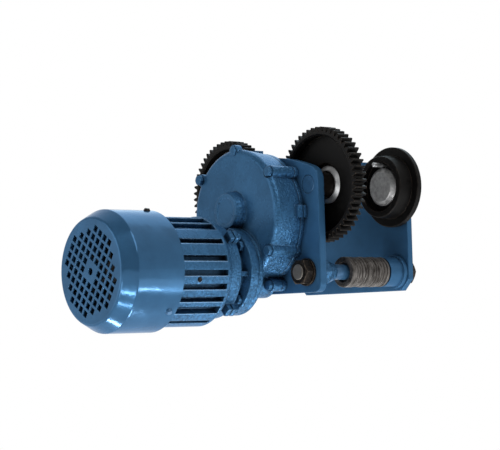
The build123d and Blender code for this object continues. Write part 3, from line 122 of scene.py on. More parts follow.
# %% [markdown]
# ## Blue paint on four kinds of metal
#
# The whole trolley was sprayed with one blue machine enamel that has a little aluminium flake in
# it, so its highlights stay blue. What changes is the metal underneath: rolled plate is nearly
# flat, sand castings and the die-cast motor keep a lumpy, pebbly skin, and the pressed fan cover is
# smooth and shiny. Four separate materials would drift apart, so one function makes all four from
# the size and depth of that skin. The next cells build it step by step.
#
# The colour comes first. Spray lies unevenly, so the blue varies slowly over the surface, between a
# darker and a lighter share of itself. A noise texture lies mostly between 0.3 and 0.7, so a Map
# Range node stretches that part of it. The same noise makes the gloss patchy later on.

# %% Blotchy blue
BLUE = "#355e82"
DARK_SHARE, LIGHT_SHARE = 0.85, 1.12
BLOTCH_MM = 45


def blotchy_blue(tree, place):
    """The blue of the enamel, and the slow noise that makes it vary."""
    blotch = add_node(
        tree,
        "ShaderNodeTexNoise",
        {"Vector": place, "Scale": per_metre(BLOTCH_MM), "Detail": 5.0, "Roughness": 0.6},
    ).outputs["Fac"]
    shade = add_node(
        tree, "ShaderNodeMapRange", {"Value": blotch, "From Min": 0.32, "From Max": 0.68}
    ).outputs["Result"]
    blue = add_node(
        tree,
        "ShaderNodeMix",
        {SHARE: shade, FIRST: linear(BLUE, DARK_SHARE), SECOND: linear(BLUE, LIGHT_SHARE)},
        data_type="RGBA",
    ).outputs[MIXED]
    return blue, blotch


print("blue paint as linear:", [round(v, 3) for v in linear(BLUE)])

# %% [markdown]
# ### Grain of the castings
#
# A mould leaves pebbles in the skin of a casting. Noise would give soft clouds, so the grain is made of
# Voronoi cells: each is one pebble with a bump of its own. Each cell also gets a random brightness, a
# painted glint, and the glints are painted stronger on the undersides, where the floor and the low
# lamps light them. Flat faces, which look along Y here, came from a smooth part of the mould, so they
# keep only a share of the grain and of its painted glints.

# %% Casting grain
# Real sand is finer than a pixel of the picture, so the grain is drawn as coarse as it needs to show.
GRAIN_MM = 2.2
FLAT_FACE_SHARE = 0.25
TOP_GLINT_SHARE = 0.2
DULLEST_GRAIN, BRIGHTEST_GRAIN = -0.7, 1.2


def casting_grain(tree, place, facing, colour, glint):
    """The colour with painted glints on the grains, the height of the grains, and how much of them a face
    keeps.
    """
    flatness = add_node(tree, "ShaderNodeMath", {0: facing["Y"]}, operation="ABSOLUTE").outputs[0]
    keep = add_node(
        tree,
        "ShaderNodeMapRange",
        {
            "Value": flatness,
            "From Min": 0.85,
            "From Max": 0.99,
            "To Min": 1.0,
            "To Max": FLAT_FACE_SHARE,
        },
    ).outputs["Result"]
    cells = add_node(
        tree,
        "ShaderNodeTexVoronoi",
        {"Vector": place, "Scale": per_metre(GRAIN_MM), "Randomness": 1.0},
    )
    chance = add_node(tree, "ShaderNodeSeparateXYZ", {0: cells.outputs["Color"]}).outputs["X"]
    # Painted glints: each grain cell gets a random brightness, between dull and bright.
    spark = add_node(
        tree,
        "ShaderNodeMapRange",
        {"Value": chance, "To Min": DULLEST_GRAIN, "To Max": BRIGHTEST_GRAIN},
    ).outputs["Result"]
    # The painted glints are stronger on faces that look down, where the floor and the low lamps shine.
    under = add_node(
        tree,
        "ShaderNodeMapRange",
        {
            "Value": facing["Z"],
            "From Min": 0.3,
            "From Max": -0.6,
            "To Min": TOP_GLINT_SHARE * glint,
            "To Max": glint,
        },
    ).outputs["Result"]
    share = add_node(tree, "ShaderNodeMath", {0: under, 1: keep}, operation="MULTIPLY").outputs[0]
    gain = add_node(
        tree, "ShaderNodeMath", {0: spark, 1: share, 2: 1.0}, operation="MULTIPLY_ADD"
    ).outputs[0]
    glinting_colour = add_node(
        tree, "ShaderNodeVectorMath", {0: colour, "Scale": gain}, operation="SCALE"
    ).outputs[0]
    return glinting_colour, cells.outputs["Distance"], keep


print("grain of the castings:", GRAIN_MM, "mm")

# %% [markdown]
# ### Edges and corners
#
# Paint rounds the edges by its own thickness. Edges that turn upwards get a painted highlight in pale
# blue, where light from above would catch them, and corners get painted shade with a little dirt.
# These could be painted by hand, but a Bevel node and an Ambient Occlusion node find them on every
# piece at once. An edge turns upwards where the rounded normal points higher than the true one.

# %% Painted highlight on edges, painted shade and dirt in corners
# The pale blue of the painted edge highlight, which also tints the real highlights of the flake.
HIGHLIGHT_BLUE = "#98c2ec"
# The dark colour of the painted shade and dirt in corners, and how far a corner reaches.
CORNER_SHADE_AND_DIRT = "#1c2d3d"
SHADE_AND_DIRT_REACH_MM = 16


def edges_and_corners(tree, colour, facing, soft_edge, edge_highlight):
    """The colour with a painted highlight on edges that turn upwards, and painted shade and dirt in
    corners.
    """
    soft_z = add_node(tree, "ShaderNodeSeparateXYZ", {0: soft_edge}).outputs["Z"]
    turned_up = add_node(
        tree, "ShaderNodeMath", {0: soft_z, 1: facing["Z"]}, operation="SUBTRACT"
    ).outputs[0]
    # Painted highlight: edges that turn upwards are lightened towards the pale blue.
    highlight_share = add_node(
        tree,
        "ShaderNodeMapRange",
        {"Value": turned_up, "From Min": 0.08, "From Max": 0.4, "To Min": 0.0, "To Max": edge_highlight},
    ).outputs["Result"]
    highlighted = add_node(
        tree,
        "ShaderNodeMix",
        {SHARE: highlight_share, FIRST: colour, SECOND: linear(HIGHLIGHT_BLUE)},
        data_type="RGBA",
    ).outputs[MIXED]
    # Painted shade and dirt: the more closed in a corner is, the darker it gets.
    openness = add_node(
        tree, "ShaderNodeAmbientOcclusion", {"Distance": SHADE_AND_DIRT_REACH_MM * MM}, samples=8
    ).outputs["AO"]
    unshaded_and_clean = add_node(
        tree, "ShaderNodeMapRange", {"Value": openness, "From Min": 0.25, "From Max": 0.75}
    ).outputs["Result"]
    return add_node(
        tree,
        "ShaderNodeMix",
        {SHARE: unshaded_and_clean, FIRST: linear(CORNER_SHADE_AND_DIRT), SECOND: highlighted},
        data_type="RGBA",
    ).outputs[MIXED]


print("flake glint", HIGHLIGHT_BLUE, "and corner dirt", CORNER_SHADE_AND_DIRT)

# %% [markdown]
# ### The enamel put together
#
# The flake makes the paint a little metallic and tints its highlights. The gloss follows the same
# blotches as the colour. The skin is two bumps, one on the other: soft lumps from noise, then the
# pebbles of the grain. They could be real displacement, but that would need far denser meshes. The
# clear coat of the fan cover flows over the grain, so it follows the lumps alone.

# %% Machine enamel
FLAKE = 0.4
GLOSS_DOWN, GLOSS_UP = 0.06, 0.08


def machine_enamel(
    name,
    lump_mm,
    lump_depth_mm,
    edge_mm,
    roughness,
    coat=0.0,
    grain_depth_mm=0.0,
    glint=0.0,
    edge_highlight=0.0,
):
    """Sprayed flake enamel: blotchy blue, patchy gloss, and the skin of the metal showing through."""
    material, tree, shader, place = new_surface(
        name,
        IOR=1.5,
        Specular_IOR_Level=0.3,
        Specular_Tint=linear(HIGHLIGHT_BLUE),
        Metallic=FLAKE,
        Coat_Weight=coat,
        Coat_Roughness=0.06,
    )
    true_normal = add_node(tree, "ShaderNodeNewGeometry").outputs["Normal"]
    facing = add_node(tree, "ShaderNodeSeparateXYZ", {0: true_normal}).outputs
    soft_edge = add_node(tree, "ShaderNodeBevel", {"Radius": edge_mm * MM}, samples=6).outputs["Normal"]
    blue, blotch = blotchy_blue(tree, place)
    # The grains carry painted glints besides their bump.
    glinting_colour, grain_height, keep = casting_grain(tree, place, facing, blue, glint)
    # Painted highlight on edges that turn upwards, and painted shade and dirt in corners.
    highlit_and_shaded = edges_and_corners(tree, glinting_colour, facing, soft_edge, edge_highlight)
    tree.links.new(highlit_and_shaded, shader.inputs["Base Color"])
    patchy = add_node(
        tree,
        "ShaderNodeMapRange",
        {
            "Value": blotch,
            "From Min": 0.3,
            "From Max": 0.7,
            "To Min": roughness - GLOSS_DOWN,
            "To Max": roughness + GLOSS_UP,
        },
    ).outputs["Result"]
    tree.links.new(patchy, shader.inputs["Roughness"])
    lumps = add_node(
        tree,
        "ShaderNodeTexNoise",
        {"Vector": place, "Scale": per_metre(lump_mm), "Detail": 3.0, "Roughness": 0.5},
    ).outputs["Fac"]
    lumpy = add_node(
        tree,
        "ShaderNodeBump",
        {"Height": lumps, "Distance": lump_depth_mm * MM, "Strength": keep, "Normal": soft_edge},
    ).outputs["Normal"]
    pebbly = add_node(
        tree,
        "ShaderNodeBump",
        {"Height": grain_height, "Distance": grain_depth_mm * MM, "Strength": keep, "Normal": lumpy},
    ).outputs["Normal"]
    tree.links.new(pebbly, shader.inputs["Normal"])
    tree.links.new(lumpy, shader.inputs["Coat Normal"])
    return material


finishes = {
    # Rolled plate gives broad, half-matt faces with hardly a ripple.
    "plate_paint": machine_enamel(
        "enamel on rolled plate", lump_mm=14, lump_depth_mm=0.3, edge_mm=2.0, roughness=0.42, edge_highlight=0.1
    ),
    # A sand casting gives soft edges and lumps, and its grains get painted glints, most on the undersides.
    "cast_paint": machine_enamel(
        "enamel on sand casting",
        lump_mm=3.2,
        lump_depth_mm=0.8,
        edge_mm=3.0,
        roughness=0.26,
        grain_depth_mm=0.3,
        glint=0.6,
        edge_highlight=0.15,
    ),
    # A die casting is finer than sand, and its ribs get a strong painted highlight along their upper
    # edges.
    "motor_paint": machine_enamel(
        "enamel on die casting",
        lump_mm=2.4,
        lump_depth_mm=0.4,
        edge_mm=2.6,
        roughness=0.27,
        grain_depth_mm=0.2,
        glint=0.5,
        edge_highlight=0.9,
    ),
    # Pressed sheet is smooth, so it mirrors the studio in clear streaks that waver a little.
    "cover_paint": machine_enamel(
        "enamel on pressed sheet", lump_mm=30, lump_depth_mm=0.6, edge_mm=0.5, roughness=0.18, coat=0.08
    ),
}
print("paints:", [material.name for material in finishes.values()])

# %% [markdown]
# ## Black and bright steel
#
# The wheels are hobbed and turned steel with a black oil finish, dark in the hollows and worn to
# brown steel along the tooth edges. Seal rings and bearings are bare turned steel, nuts and bolts
# are brown-black oxide, and the spacer washers are bare plate that has begun to rust. One even grey
# would look like plastic, so each has a grain between two colours, an uneven polish, and a third
# colour where its edges are rubbed. The edges are found by comparing the true normal with the one
# that a Bevel node rounds off. Pointiness finds edges too, but only on an even mesh, and CAD meshes
# have long thin triangles.

# %% Worked steel
EVEN = (1.0, 1.0, 1.0)


def worked_steel(
    name,
    colour,
    grain_colour,
    edge_colour,
    grain_mm,
    metallic,
    roughness,
    spread,
    relief_mm,
    edge_mm=0.8,
    grain_way=EVEN,
):
    """Steel with a grain between two colours, rubbed edges, uneven polish and a slight relief."""
    material, tree, shader, place = new_surface(name, Metallic=metallic, Specular_IOR_Level=0.15)
    stretched = add_node(
        tree, "ShaderNodeVectorMath", {0: place, 1: grain_way}, operation="MULTIPLY"
    ).outputs["Vector"]
    grain = add_node(
        tree,
        "ShaderNodeTexNoise",
        {"Vector": stretched, "Scale": per_metre(grain_mm), "Detail": 5.0, "Roughness": 0.6},
    ).outputs["Fac"]
    share = add_node(
        tree, "ShaderNodeMapRange", {"Value": grain, "From Min": 0.36, "From Max": 0.66}
    ).outputs["Result"]
    body = add_node(
        tree,
        "ShaderNodeMix",
        {SHARE: share, FIRST: linear(colour), SECOND: linear(grain_colour)},
        data_type="RGBA",
    ).outputs[MIXED]
    true_normal = add_node(tree, "ShaderNodeNewGeometry").outputs["Normal"]
    soft_edge = add_node(tree, "ShaderNodeBevel", {"Radius": edge_mm * MM}, samples=6).outputs["Normal"]
    agree = add_node(
        tree, "ShaderNodeVectorMath", {0: soft_edge, 1: true_normal}, operation="DOT_PRODUCT"
    ).outputs["Value"]
    edge = add_node(
        tree, "ShaderNodeMapRange", {"Value": agree, "From Min": 0.98, "From Max": 0.8}
    ).outputs["Result"]
    rubbed = add_node(tree, "ShaderNodeMath", {0: edge, 1: share}, operation="MULTIPLY").outputs[0]
    tint = add_node(
        tree,
        "ShaderNodeMix",
        {SHARE: rubbed, FIRST: body, SECOND: linear(edge_colour)},
        data_type="RGBA",
    ).outputs[MIXED]
    tree.links.new(tint, shader.inputs["Base Color"])
    polish = add_node(
        tree,
        "ShaderNodeMapRange",
        {
            "Value": grain,
            "From Min": 0.3,
            "From Max": 0.7,
            "To Min": roughness - spread,
            "To Max": roughness + spread,
        },
    ).outputs["Result"]
    tree.links.new(polish, shader.inputs["Roughness"])
    relief = add_node(
        tree,
        "ShaderNodeBump",
        {"Height": grain, "Distance": relief_mm * MM, "Strength": 1.0, "Normal": soft_edge},
    ).outputs["Normal"]
    tree.links.new(relief, shader.inputs["Normal"])
    return material


# Zinc plate that has gone dull, on the dust caps, is a cloudy mid grey.
dull_zinc = worked_steel(
    "dull zinc plate",
    "#b2b2b2",
    "#8e8e8e",
    "#d0d0d0",
    grain_mm=5,
    metallic=0.5,
    roughness=0.42,
    spread=0.06,
    relief_mm=0.04,
)
print("first metal:", dull_zinc.name)

# %% [markdown]
# ### Metals that show
#
# Tool marks and the grain of steel are finer than a pixel of the picture, so each grain is drawn as
# coarse as it needs to show. On the washers it is drawn out into rings: stretched across their axis,
# which lies along Y, and squeezed along it, so that one washer is bright and the next one dark.

# %% Steel of wheels, rings, nuts and washers
RINGED = (0.35, 2.2, 0.35)

finishes |= {
    # Oil-blackened steel swallows light, and only the rubbed edges of the teeth stand out, in brown.
    "wheel_black": worked_steel(
        "black oiled wheel steel",
        "#050404",
        "#0b0a09",
        "#5c4e42",
        grain_mm=7,
        metallic=0.05,
        roughness=0.5,
        spread=0.08,
        relief_mm=0.04,
    ),
    # Fresh turned steel is a pale, even mirror with a soft sheen.
    "bright_steel": worked_steel(
        "bare turned steel",
        "#d6d7d8",
        "#c8cacb",
        "#e6e6e6",
        grain_mm=9,
        metallic=0.85,
        roughness=0.3,
        spread=0.02,
        relief_mm=0.001,
        edge_mm=0.4,
    ),
    # Hot oxide is a warm near-black with lighter corners, where spanners have turned it.
    "dark_steel": worked_steel(
        "brown-black oxide steel",
        "#1d1a18",
        "#3a332d",
        "#8d7f70",
        grain_mm=3,
        metallic=0.7,
        roughness=0.42,
        spread=0.08,
        relief_mm=0.05,
    ),
    # Punched plate that has begun to rust is grey with dark rings.
    "washer_steel": worked_steel(
        "bare washer steel with light rust",
        "#706c69",
        "#1f1b18",
        "#7d7770",
        grain_mm=5,
        metallic=0.5,
        roughness=0.4,
        spread=0.08,
        relief_mm=0.03,
        grain_way=RINGED,
    ),
}
print("metals that show:", [name for name in finishes if name.endswith(("black", "steel"))])

# %% [markdown]
# ### Metals inside
#
# Bearings, inner gears, the stator and its windings are out of sight until someone takes a piece
# away. They could share one grey, but a part in a library is also seen opened, so each gets its own
# colour and polish from the same function.

# %% Steel and copper of bearings, gears and windings
finishes |= {
    # Ground races are nearly a mirror.
    "bearing_steel": worked_steel(
        "ground bearing steel",
        "#c8cacc",
        "#aeb1b4",
        "#d8d8d8",
        grain_mm=2,
        metallic=1.0,
        roughness=0.2,
        spread=0.05,
        relief_mm=0.01,
    ),
    # Oil darkens cut gear steel and leaves a wet, uneven shine.
    "gear_steel": worked_steel(
        "oiled gear steel",
        "#5f6164",
        "#47494c",
        "#8d8d8d",
        grain_mm=3,
        metallic=1.0,
        roughness=0.36,
        spread=0.08,
        relief_mm=0.04,
    ),
    # Stacked sheets give a dull, streaky grey.
    "lamination": worked_steel(
        "stacked electrical steel",
        "#6f7276",
        "#56585c",
        "#8a8c90",
        grain_mm=1.5,
        metallic=0.9,
        roughness=0.5,
        spread=0.08,
        relief_mm=0.05,
    ),
    # Varnish over copper wire gives a brown-orange with deep gaps.
    "copper": worked_steel(
        "varnished copper wire",
        "#b8692f",
        "#8a4a20",
        "#c98550",
        grain_mm=1.5,
        metallic=1.0,
        roughness=0.38,
        spread=0.08,
        relief_mm=0.2,
    ),
}
print("finishes so far:", len(finishes))

# %% [markdown]
# ## Rubber, fibre and moulded plastic
#
# The seals, the fan and the terminal board are inside, and only the fan shows, as dark blades behind
# the grille. The case gasket shows as a thin edge that the spray went over. Plain colours would do
# at this size, but all are matt and slightly grainy, so they share a function that adds flecks,
# drawn coarser than the real ones so that they show.

# %% Matt mouldings
def matt_moulding(name, colour, fleck_colour, fleck_mm, roughness, relief_mm):
    """A matt moulded surface with small flecks."""
    material, tree, shader, place = new_surface(name, Roughness=roughness, IOR=1.5)
    fleck = add_node(
        tree,
        "ShaderNodeTexNoise",
        {"Vector": place, "Scale": per_metre(fleck_mm), "Detail": 4.0, "Roughness": 0.6},
    ).outputs["Fac"]
    share = add_node(
        tree, "ShaderNodeMapRange", {"Value": fleck, "From Min": 0.4, "From Max": 0.65}
    ).outputs["Result"]
    tint = add_node(
        tree,
        "ShaderNodeMix",
        {SHARE: share, FIRST: linear(colour), SECOND: linear(fleck_colour)},
        data_type="RGBA",
    ).outputs[MIXED]
    tree.links.new(tint, shader.inputs["Base Color"])
    relief = add_node(
        tree, "ShaderNodeBump", {"Height": fleck, "Distance": relief_mm * MM, "Strength": 1.0}
    ).outputs["Normal"]
    tree.links.new(relief, shader.inputs["Normal"])
    return material


mouldings = {
    # Rubber lips are a dead matt black.
    "seal_rubber": matt_moulding(
        "moulded nitrile rubber", "#141414", "#202020", fleck_mm=2, roughness=0.7, relief_mm=0.05
    ),
    # Fibre soaks up the spray, so it turns a dark, uneven blue.
    "gasket_fibre": matt_moulding(
        "fibre gasket under overspray", "#16293c", "#20405e", fleck_mm=2.5, roughness=0.6, relief_mm=0.1
    ),
    # Moulded nylon is black with a faint satin shine.
    "fan_plastic": matt_moulding(
        "moulded black nylon", "#0d0d0f", "#151517", fleck_mm=2.5, roughness=0.6, relief_mm=0.05
    ),
    # Phenolic resin is a mottled red-brown, a little shinier.
    "board_plastic": matt_moulding(
        "moulded phenolic resin", "#4a2717", "#5a3220", fleck_mm=1.5, roughness=0.45, relief_mm=0.03
    ),
}
finishes |= mouldings
print("mouldings:", list(mouldings))

# %% [markdown]
# ## Pieces with two finishes
#
# Some pieces were sprayed only where the gun reached. The tie shafts are painted between the side
# plates, and their threaded ends were masked by the nuts. The drive axles are painted only on the
# end that sits flush in the outer face of the plate. The lower screws of the fan cover were painted
# with the motor, and the top one was put back later, still black. Two material slots could do this
# too, but the shafts have no edge of the mesh along the border. One coordinate tells the two zones
# apart, so one function takes the axis, the middle and the half width of the inner zone, and a
# finish for each zone. A thread is drawn as fine rings along the shaft.

# %% Two zones on one piece
UNEVEN_MM = 6
UNEVEN_DARK, UNEVEN_LIGHT = 0.65, 1.3
BORDER_MM = 0.4
ZONE_EDGE_MM = 0.6
SKIN_DEPTH_MM = 0.35
THREAD_DEPTH_MM = 0.5


def two_zones(name, axis, centre_mm, half_mm, inner, outer, pitch_mm=0.0):
    """A surface with one finish near a plane across an axis, and another beyond it."""
    material, tree, shader, place = new_surface(name)
    along = add_node(tree, "ShaderNodeSeparateXYZ", {0: place}).outputs[axis]
    offset = add_node(
        tree, "ShaderNodeMath", {0: along, 1: centre_mm * MM}, operation="SUBTRACT"
    ).outputs[0]
    away = add_node(tree, "ShaderNodeMath", {0: offset}, operation="ABSOLUTE").outputs[0]
    zone = add_node(
        tree,
        "ShaderNodeMapRange",
        {
            "Value": away,
            "From Min": (half_mm - BORDER_MM) * MM,
            "From Max": (half_mm + BORDER_MM) * MM,
        },
    ).outputs["Result"]
    uneven = add_node(
        tree,
        "ShaderNodeTexNoise",
        {"Vector": place, "Scale": per_metre(UNEVEN_MM), "Detail": 4.0, "Roughness": 0.6},
    ).outputs["Fac"]
    inner_tint, outer_tint = [
        add_node(
            tree,
            "ShaderNodeMix",
            {
                SHARE: uneven,
                FIRST: linear(finish["Colour"], UNEVEN_DARK),
                SECOND: linear(finish["Colour"], UNEVEN_LIGHT),
            },
            data_type="RGBA",
        ).outputs[MIXED]
        for finish in (inner, outer)
    ]
    tint = add_node(
        tree,
        "ShaderNodeMix",
        {SHARE: zone, FIRST: inner_tint, SECOND: outer_tint},
        data_type="RGBA",
    ).outputs[MIXED]
    tree.links.new(tint, shader.inputs["Base Color"])
    for socket in ("Metallic", "Roughness"):
        span = {"Value": zone, "To Min": inner[socket], "To Max": outer[socket]}
        blend = add_node(tree, "ShaderNodeMapRange", span).outputs["Result"]
        tree.links.new(blend, shader.inputs[socket])
    soft_edge = add_node(
        tree, "ShaderNodeBevel", {"Radius": ZONE_EDGE_MM * MM}, samples=6
    ).outputs["Normal"]
    skin = add_node(
        tree,
        "ShaderNodeBump",
        {"Height": uneven, "Distance": SKIN_DEPTH_MM * MM, "Strength": 1.0, "Normal": soft_edge},
    ).outputs["Normal"]
    if pitch_mm:
        turn = add_node(
            tree, "ShaderNodeMath", {0: along, 1: math.tau / (pitch_mm * MM)}, operation="MULTIPLY"
        ).outputs[0]
        ridge = add_node(tree, "ShaderNodeMath", {0: turn}, operation="SINE").outputs[0]
        skin = add_node(
            tree,
            "ShaderNodeBump",
            {"Height": ridge, "Distance": THREAD_DEPTH_MM * MM, "Strength": zone, "Normal": skin},
        ).outputs["Normal"]
    tree.links.new(skin, shader.inputs["Normal"])
    return material


print("zones blend over", 2 * BORDER_MM, "mm")

# %% Sprayed shafts, axles and screws
SPRAYED = {"Colour": BLUE, "Metallic": FLAKE, "Roughness": 0.34}
BARE = {"Colour": "#6f6b66", "Metallic": 0.5, "Roughness": 0.4}
BLACKENED = {"Colour": "#241f1c", "Metallic": 0.6, "Roughness": 0.42}
THREAD_PITCH_MM = 2.5
AXLE_MASKED_MM = 86.0
LOW_SCREWS_MM, LOW_SCREWS_HALF_MM = -100.0, 60.0

drive_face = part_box("drive_side_plate")[0].y / MM
idle_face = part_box("idle_side_plate")[1].y / MM
plates_middle, plates_half = (drive_face + idle_face) / 2, (idle_face - drive_face) / 2
tie_finish = two_zones(
    "sprayed tie shaft", "Y", plates_middle, plates_half, SPRAYED, BARE, pitch_mm=THREAD_PITCH_MM
)
axle_finish = two_zones("sprayed axle end", "Y", 0.0, AXLE_MASKED_MM, BLACKENED, SPRAYED)
screw_finish = two_zones(
    "sprayed and black screws", "Z", LOW_SCREWS_MM, LOW_SCREWS_HALF_MM, SPRAYED, BLACKENED
)
print("side plates reach from", round(drive_face, 1), "to", round(idle_face, 1), "mm")

# %% [markdown]
# ## A finish for every node
#
# The CAD record names a material slot for each node, and most nodes take the finish of their slot.
# Some look different on the real trolley: the pieces with two zones, screws and nuts that were
# painted over or left black, and the dull caps of the plain wheels. The motor's shaft is dark like
# the bolts, so that its end stays dark behind the grille. A list of exceptions keeps the record's
# slots as they are.

# %% Give each node its finish
own_finish = {
    "tie_shaft_front": tie_finish,
    "tie_shaft_rear": tie_finish,
    "drive_wheel_axles": axle_finish,
    "fan_cover_screws": screw_finish,
    "earth_screw": finishes["wheel_black"],
    "motor_shaft": finishes["dark_steel"],
    "shield_screws": finishes["cast_paint"],
    "tie_shaft_inner_nuts": finishes["cast_paint"],
}
own_finish |= {name: dull_zinc for name in nodes if name.endswith("dust_cap")}

slot_of = {entry["node"]: entry["material_slot"] for entry in frame["record"]["subparts"]}
for name, node in nodes.items():
    node.data.materials.clear()
    node.data.materials.append(own_finish.get(name, finishes[slot_of[name]]))
print("nodes given a finish:", len(slot_of), "of their own:", len(own_finish))

# %% [markdown]
# ## Grease nipples
#
# Each plain wheel has a bright grease nipple beside its dust cap: a small hexagon that a spanner
# turns, a slim stem and a ball-shaped nozzle for the grease gun. It could be a screw-modifier
# lathe, but a short ring builder gives the six-sided and the round part alike. It rides on its
# wheel, and stays short of the space that the web of the beam needs.

# %% Grease nipple
HEXAGON, ROUND = 6, 24
NIPPLE_PROFILE_MM = (
    (0.0, 3.6, HEXAGON),
    (4.0, 3.6, HEXAGON),
    (4.0, 3.0, ROUND),
    (14.5, 3.0, ROUND),
    (15.0, 2.6, ROUND),
    (15.5, 3.0, ROUND),
    (17.0, 3.0, ROUND),
    (18.0, 2.0, ROUND),
    (18.1, 0.8, ROUND),
)
NIPPLE_REACH_MM = 28.9


def turned_piece(name, profile_mm, finish):
    """A piece turned about its own Y axis from (height, radius, sides) rings, pointing to -Y."""
    mesh = bmesh.new()
    last = None
    for height, radius, sides in profile_mm:
        angles = [math.tau * step / sides for step in range(sides)]
        ring = [
            mesh.verts.new((radius * MM * math.cos(angle), -height * MM, radius * MM * math.sin(angle)))
            for angle in angles
        ]
        if last and len(last) == len(ring):
            for step in range(sides):
                after = (step + 1) % sides
                mesh.faces.new((last[step], last[after], ring[after], ring[step]))
        else:
            mesh.faces.new(ring)
            if last:
                mesh.faces.new(last)
        last = ring
    mesh.faces.new(last)
    bmesh.ops.recalc_face_normals(mesh, faces=mesh.faces)
    data = bpy.data.meshes.new(name)
    mesh.to_mesh(data)
    mesh.free()
    data.materials.append(finish)
    piece = bpy.data.objects.new(name, data)
    bpy.context.collection.objects.link(piece)
    return piece


for body in ("idle_wheel_front", "idle_wheel_rear"):
    cap_low, cap_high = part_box(body + "_dust_cap")
    nipple = turned_piece(body + "_grease_nipple", NIPPLE_PROFILE_MM, finishes["bright_steel"])
    cap_middle = (cap_low + cap_high) / 2
    nipple.location = (cap_middle.x, cap_high.y, cap_middle.z + NIPPLE_REACH_MM * MM)
    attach(nipple, body)
    print(nipple.name, "at", [round(v, 4) for v in nipple.location])

# %% [markdown]
# ## Floor
#
# The trolley hangs in the air, as it does on its beam, over a plain pale floor. More light would
# turn the floor white but bleach the paint, so the floor glows a little instead, and only to the
# camera and in reflections. Near the trolley it keeps its shadow, and further away it is all white.

# %% Studio floor
FLOOR_DROP = 0.6
HALF_FLOOR = 14.0
FLOOR_COLOUR = "#f4f4f4"
SHADOW_REACH, WHITE_FROM = 1.2, 3.5
NEAR_GLOW = 0.8
WHITE = (1.0, 1.0, 1.0, 1.0)
floor_z = cad_low.z - FLOOR_DROP
corners = [(HALF_FLOOR * x, HALF_FLOOR * y, floor_z) for x, y in ((-1, -1), (1, -1), (1, 1), (-1, 1))]
floor_mesh = bpy.data.meshes.new("studio floor")
floor_mesh.from_pydata(corners, [], [(0, 1, 2, 3)])
floor = bpy.data.objects.new("studio floor", floor_mesh)
bpy.context.collection.objects.link(floor)
floor_finish, floor_tree, floor_shader, floor_place = new_surface("matt white studio floor", Roughness=0.9)
floor_shader.inputs["Base Color"].default_value = linear(FLOOR_COLOUR)
floor_rays = add_node(floor_tree, "ShaderNodeLightPath").outputs
seen_floor = floor_rays["Is Camera Ray"]
for ray in ("Is Glossy Ray", "Is Transmission Ray"):
    seen_floor = add_node(
        floor_tree, "ShaderNodeMath", {0: seen_floor, 1: floor_rays[ray]}, operation="MAXIMUM"
    ).outputs[0]
distance = add_node(
    floor_tree, "ShaderNodeVectorMath", {0: floor_place}, operation="LENGTH"
).outputs["Value"]
white_out = add_node(
    floor_tree,
    "ShaderNodeMapRange",
    {
        "Value": distance,
        "From Min": SHADOW_REACH,
        "From Max": WHITE_FROM,
        "To Min": NEAR_GLOW,
        "To Max": 1.0,
    },
).outputs["Result"]
glow_share = add_node(
    floor_tree, "ShaderNodeMath", {0: seen_floor, 1: white_out}, operation="MULTIPLY"
).outputs[0]
glow = add_node(floor_tree, "ShaderNodeEmission", {"Color": WHITE, "Strength": 1.0}).outputs[0]
floor_mix = add_node(
    floor_tree, "ShaderNodeMixShader", {0: glow_share, 1: floor_shader.outputs[0], 2: glow}
)
floor_tree.links.new(floor_mix.outputs[0], floor_tree.nodes["Material Output"].inputs["Surface"])
floor_mesh.materials.append(floor_finish)
print("floor at", round(floor_z, 3), "m")

# %% [markdown]
# ## Backdrop and room
#
# To the camera the backdrop is white. In reflections it is white too, but the side of the room
# behind the camera is dim, as in a photographer's studio: that keeps the front faces deep blue,
# while the white floor shines along the undersides. All other light from around is an even, soft
# level. An environment picture could do the same, but here each level is one number.

# %% World
AMBIENT = 0.36
ROOM_SIDE = (0.45, -0.85, 0.25)
ROOM_LEVEL = 0.11
BACK_LEVEL = 1.0
ROOM_BLEND = 0.35
world = bpy.data.worlds.new("white studio")
bpy.context.scene.world = world
world.use_nodes = True
sky = world.node_tree
backdrop = sky.nodes["Background"]
backdrop.inputs["Color"].default_value = WHITE
sky_rays = add_node(sky, "ShaderNodeLightPath").outputs
way = add_node(sky, "ShaderNodeTexCoord").outputs["Generated"]
to_room = add_node(
    sky, "ShaderNodeVectorMath", {0: way, 1: ROOM_SIDE}, operation="DOT_PRODUCT"
).outputs["Value"]
mirrored = add_node(
    sky,
    "ShaderNodeMapRange",
    {
        "Value": to_room,
        "From Min": -ROOM_BLEND,
        "From Max": ROOM_BLEND,
        "To Min": BACK_LEVEL,
        "To Max": ROOM_LEVEL,
    },
).outputs["Result"]
lit = add_node(
    sky,
    "ShaderNodeMapRange",
    {"Value": sky_rays["Is Glossy Ray"], "To Min": AMBIENT, "To Max": mirrored},
).outputs["Result"]
seen_sky = add_node(
    sky,
    "ShaderNodeMath",
    {0: sky_rays["Is Camera Ray"], 1: sky_rays["Is Transmission Ray"]},
    operation="MAXIMUM",
).outputs[0]
level = add_node(
    sky, "ShaderNodeMapRange", {"Value": seen_sky, "To Min": lit, "To Max": 1.0}
).outputs["Result"]
sky.links.new(level, backdrop.inputs["Strength"])
print("ambient", AMBIENT, "mirrored room", ROOM_LEVEL)

# %% [markdown]
# ## Soft boxes
#
# A large soft box with a blue cast hangs high behind and helps the backdrop to draw the pale tops.
# Low boxes on the right, in front and under the gear case light the undersides. Two large ones fill
# the front and the upper right, and one on the left is mirrored by the grille. Four small windows
# draw the streaks on the fan cover: each stands where the cover's side or cone mirrors it into the
# lens. One lamp from above would be simpler, but then the streaks would lie elsewhere.

# %% Lamps
def soft_box(name, place, target, size, power, tint=(1.0, 1.0, 1.0)):
    """A rectangular area lamp aimed at a point, in metres and watts, that the camera doesn't see."""
    lamp = bpy.data.lights.new(name, "AREA")
    lamp.shape = "RECTANGLE"
    lamp.size, lamp.size_y = size
    lamp.energy = power
    lamp.color = tint
    holder = bpy.data.objects.new(name, lamp)
    holder.location = place
    holder.rotation_mode = "QUATERNION"
    holder.rotation_quaternion = (Vector(target) - Vector(place)).to_track_quat("-Z", "Y")
    holder.visible_camera = False
    bpy.context.collection.objects.link(holder)


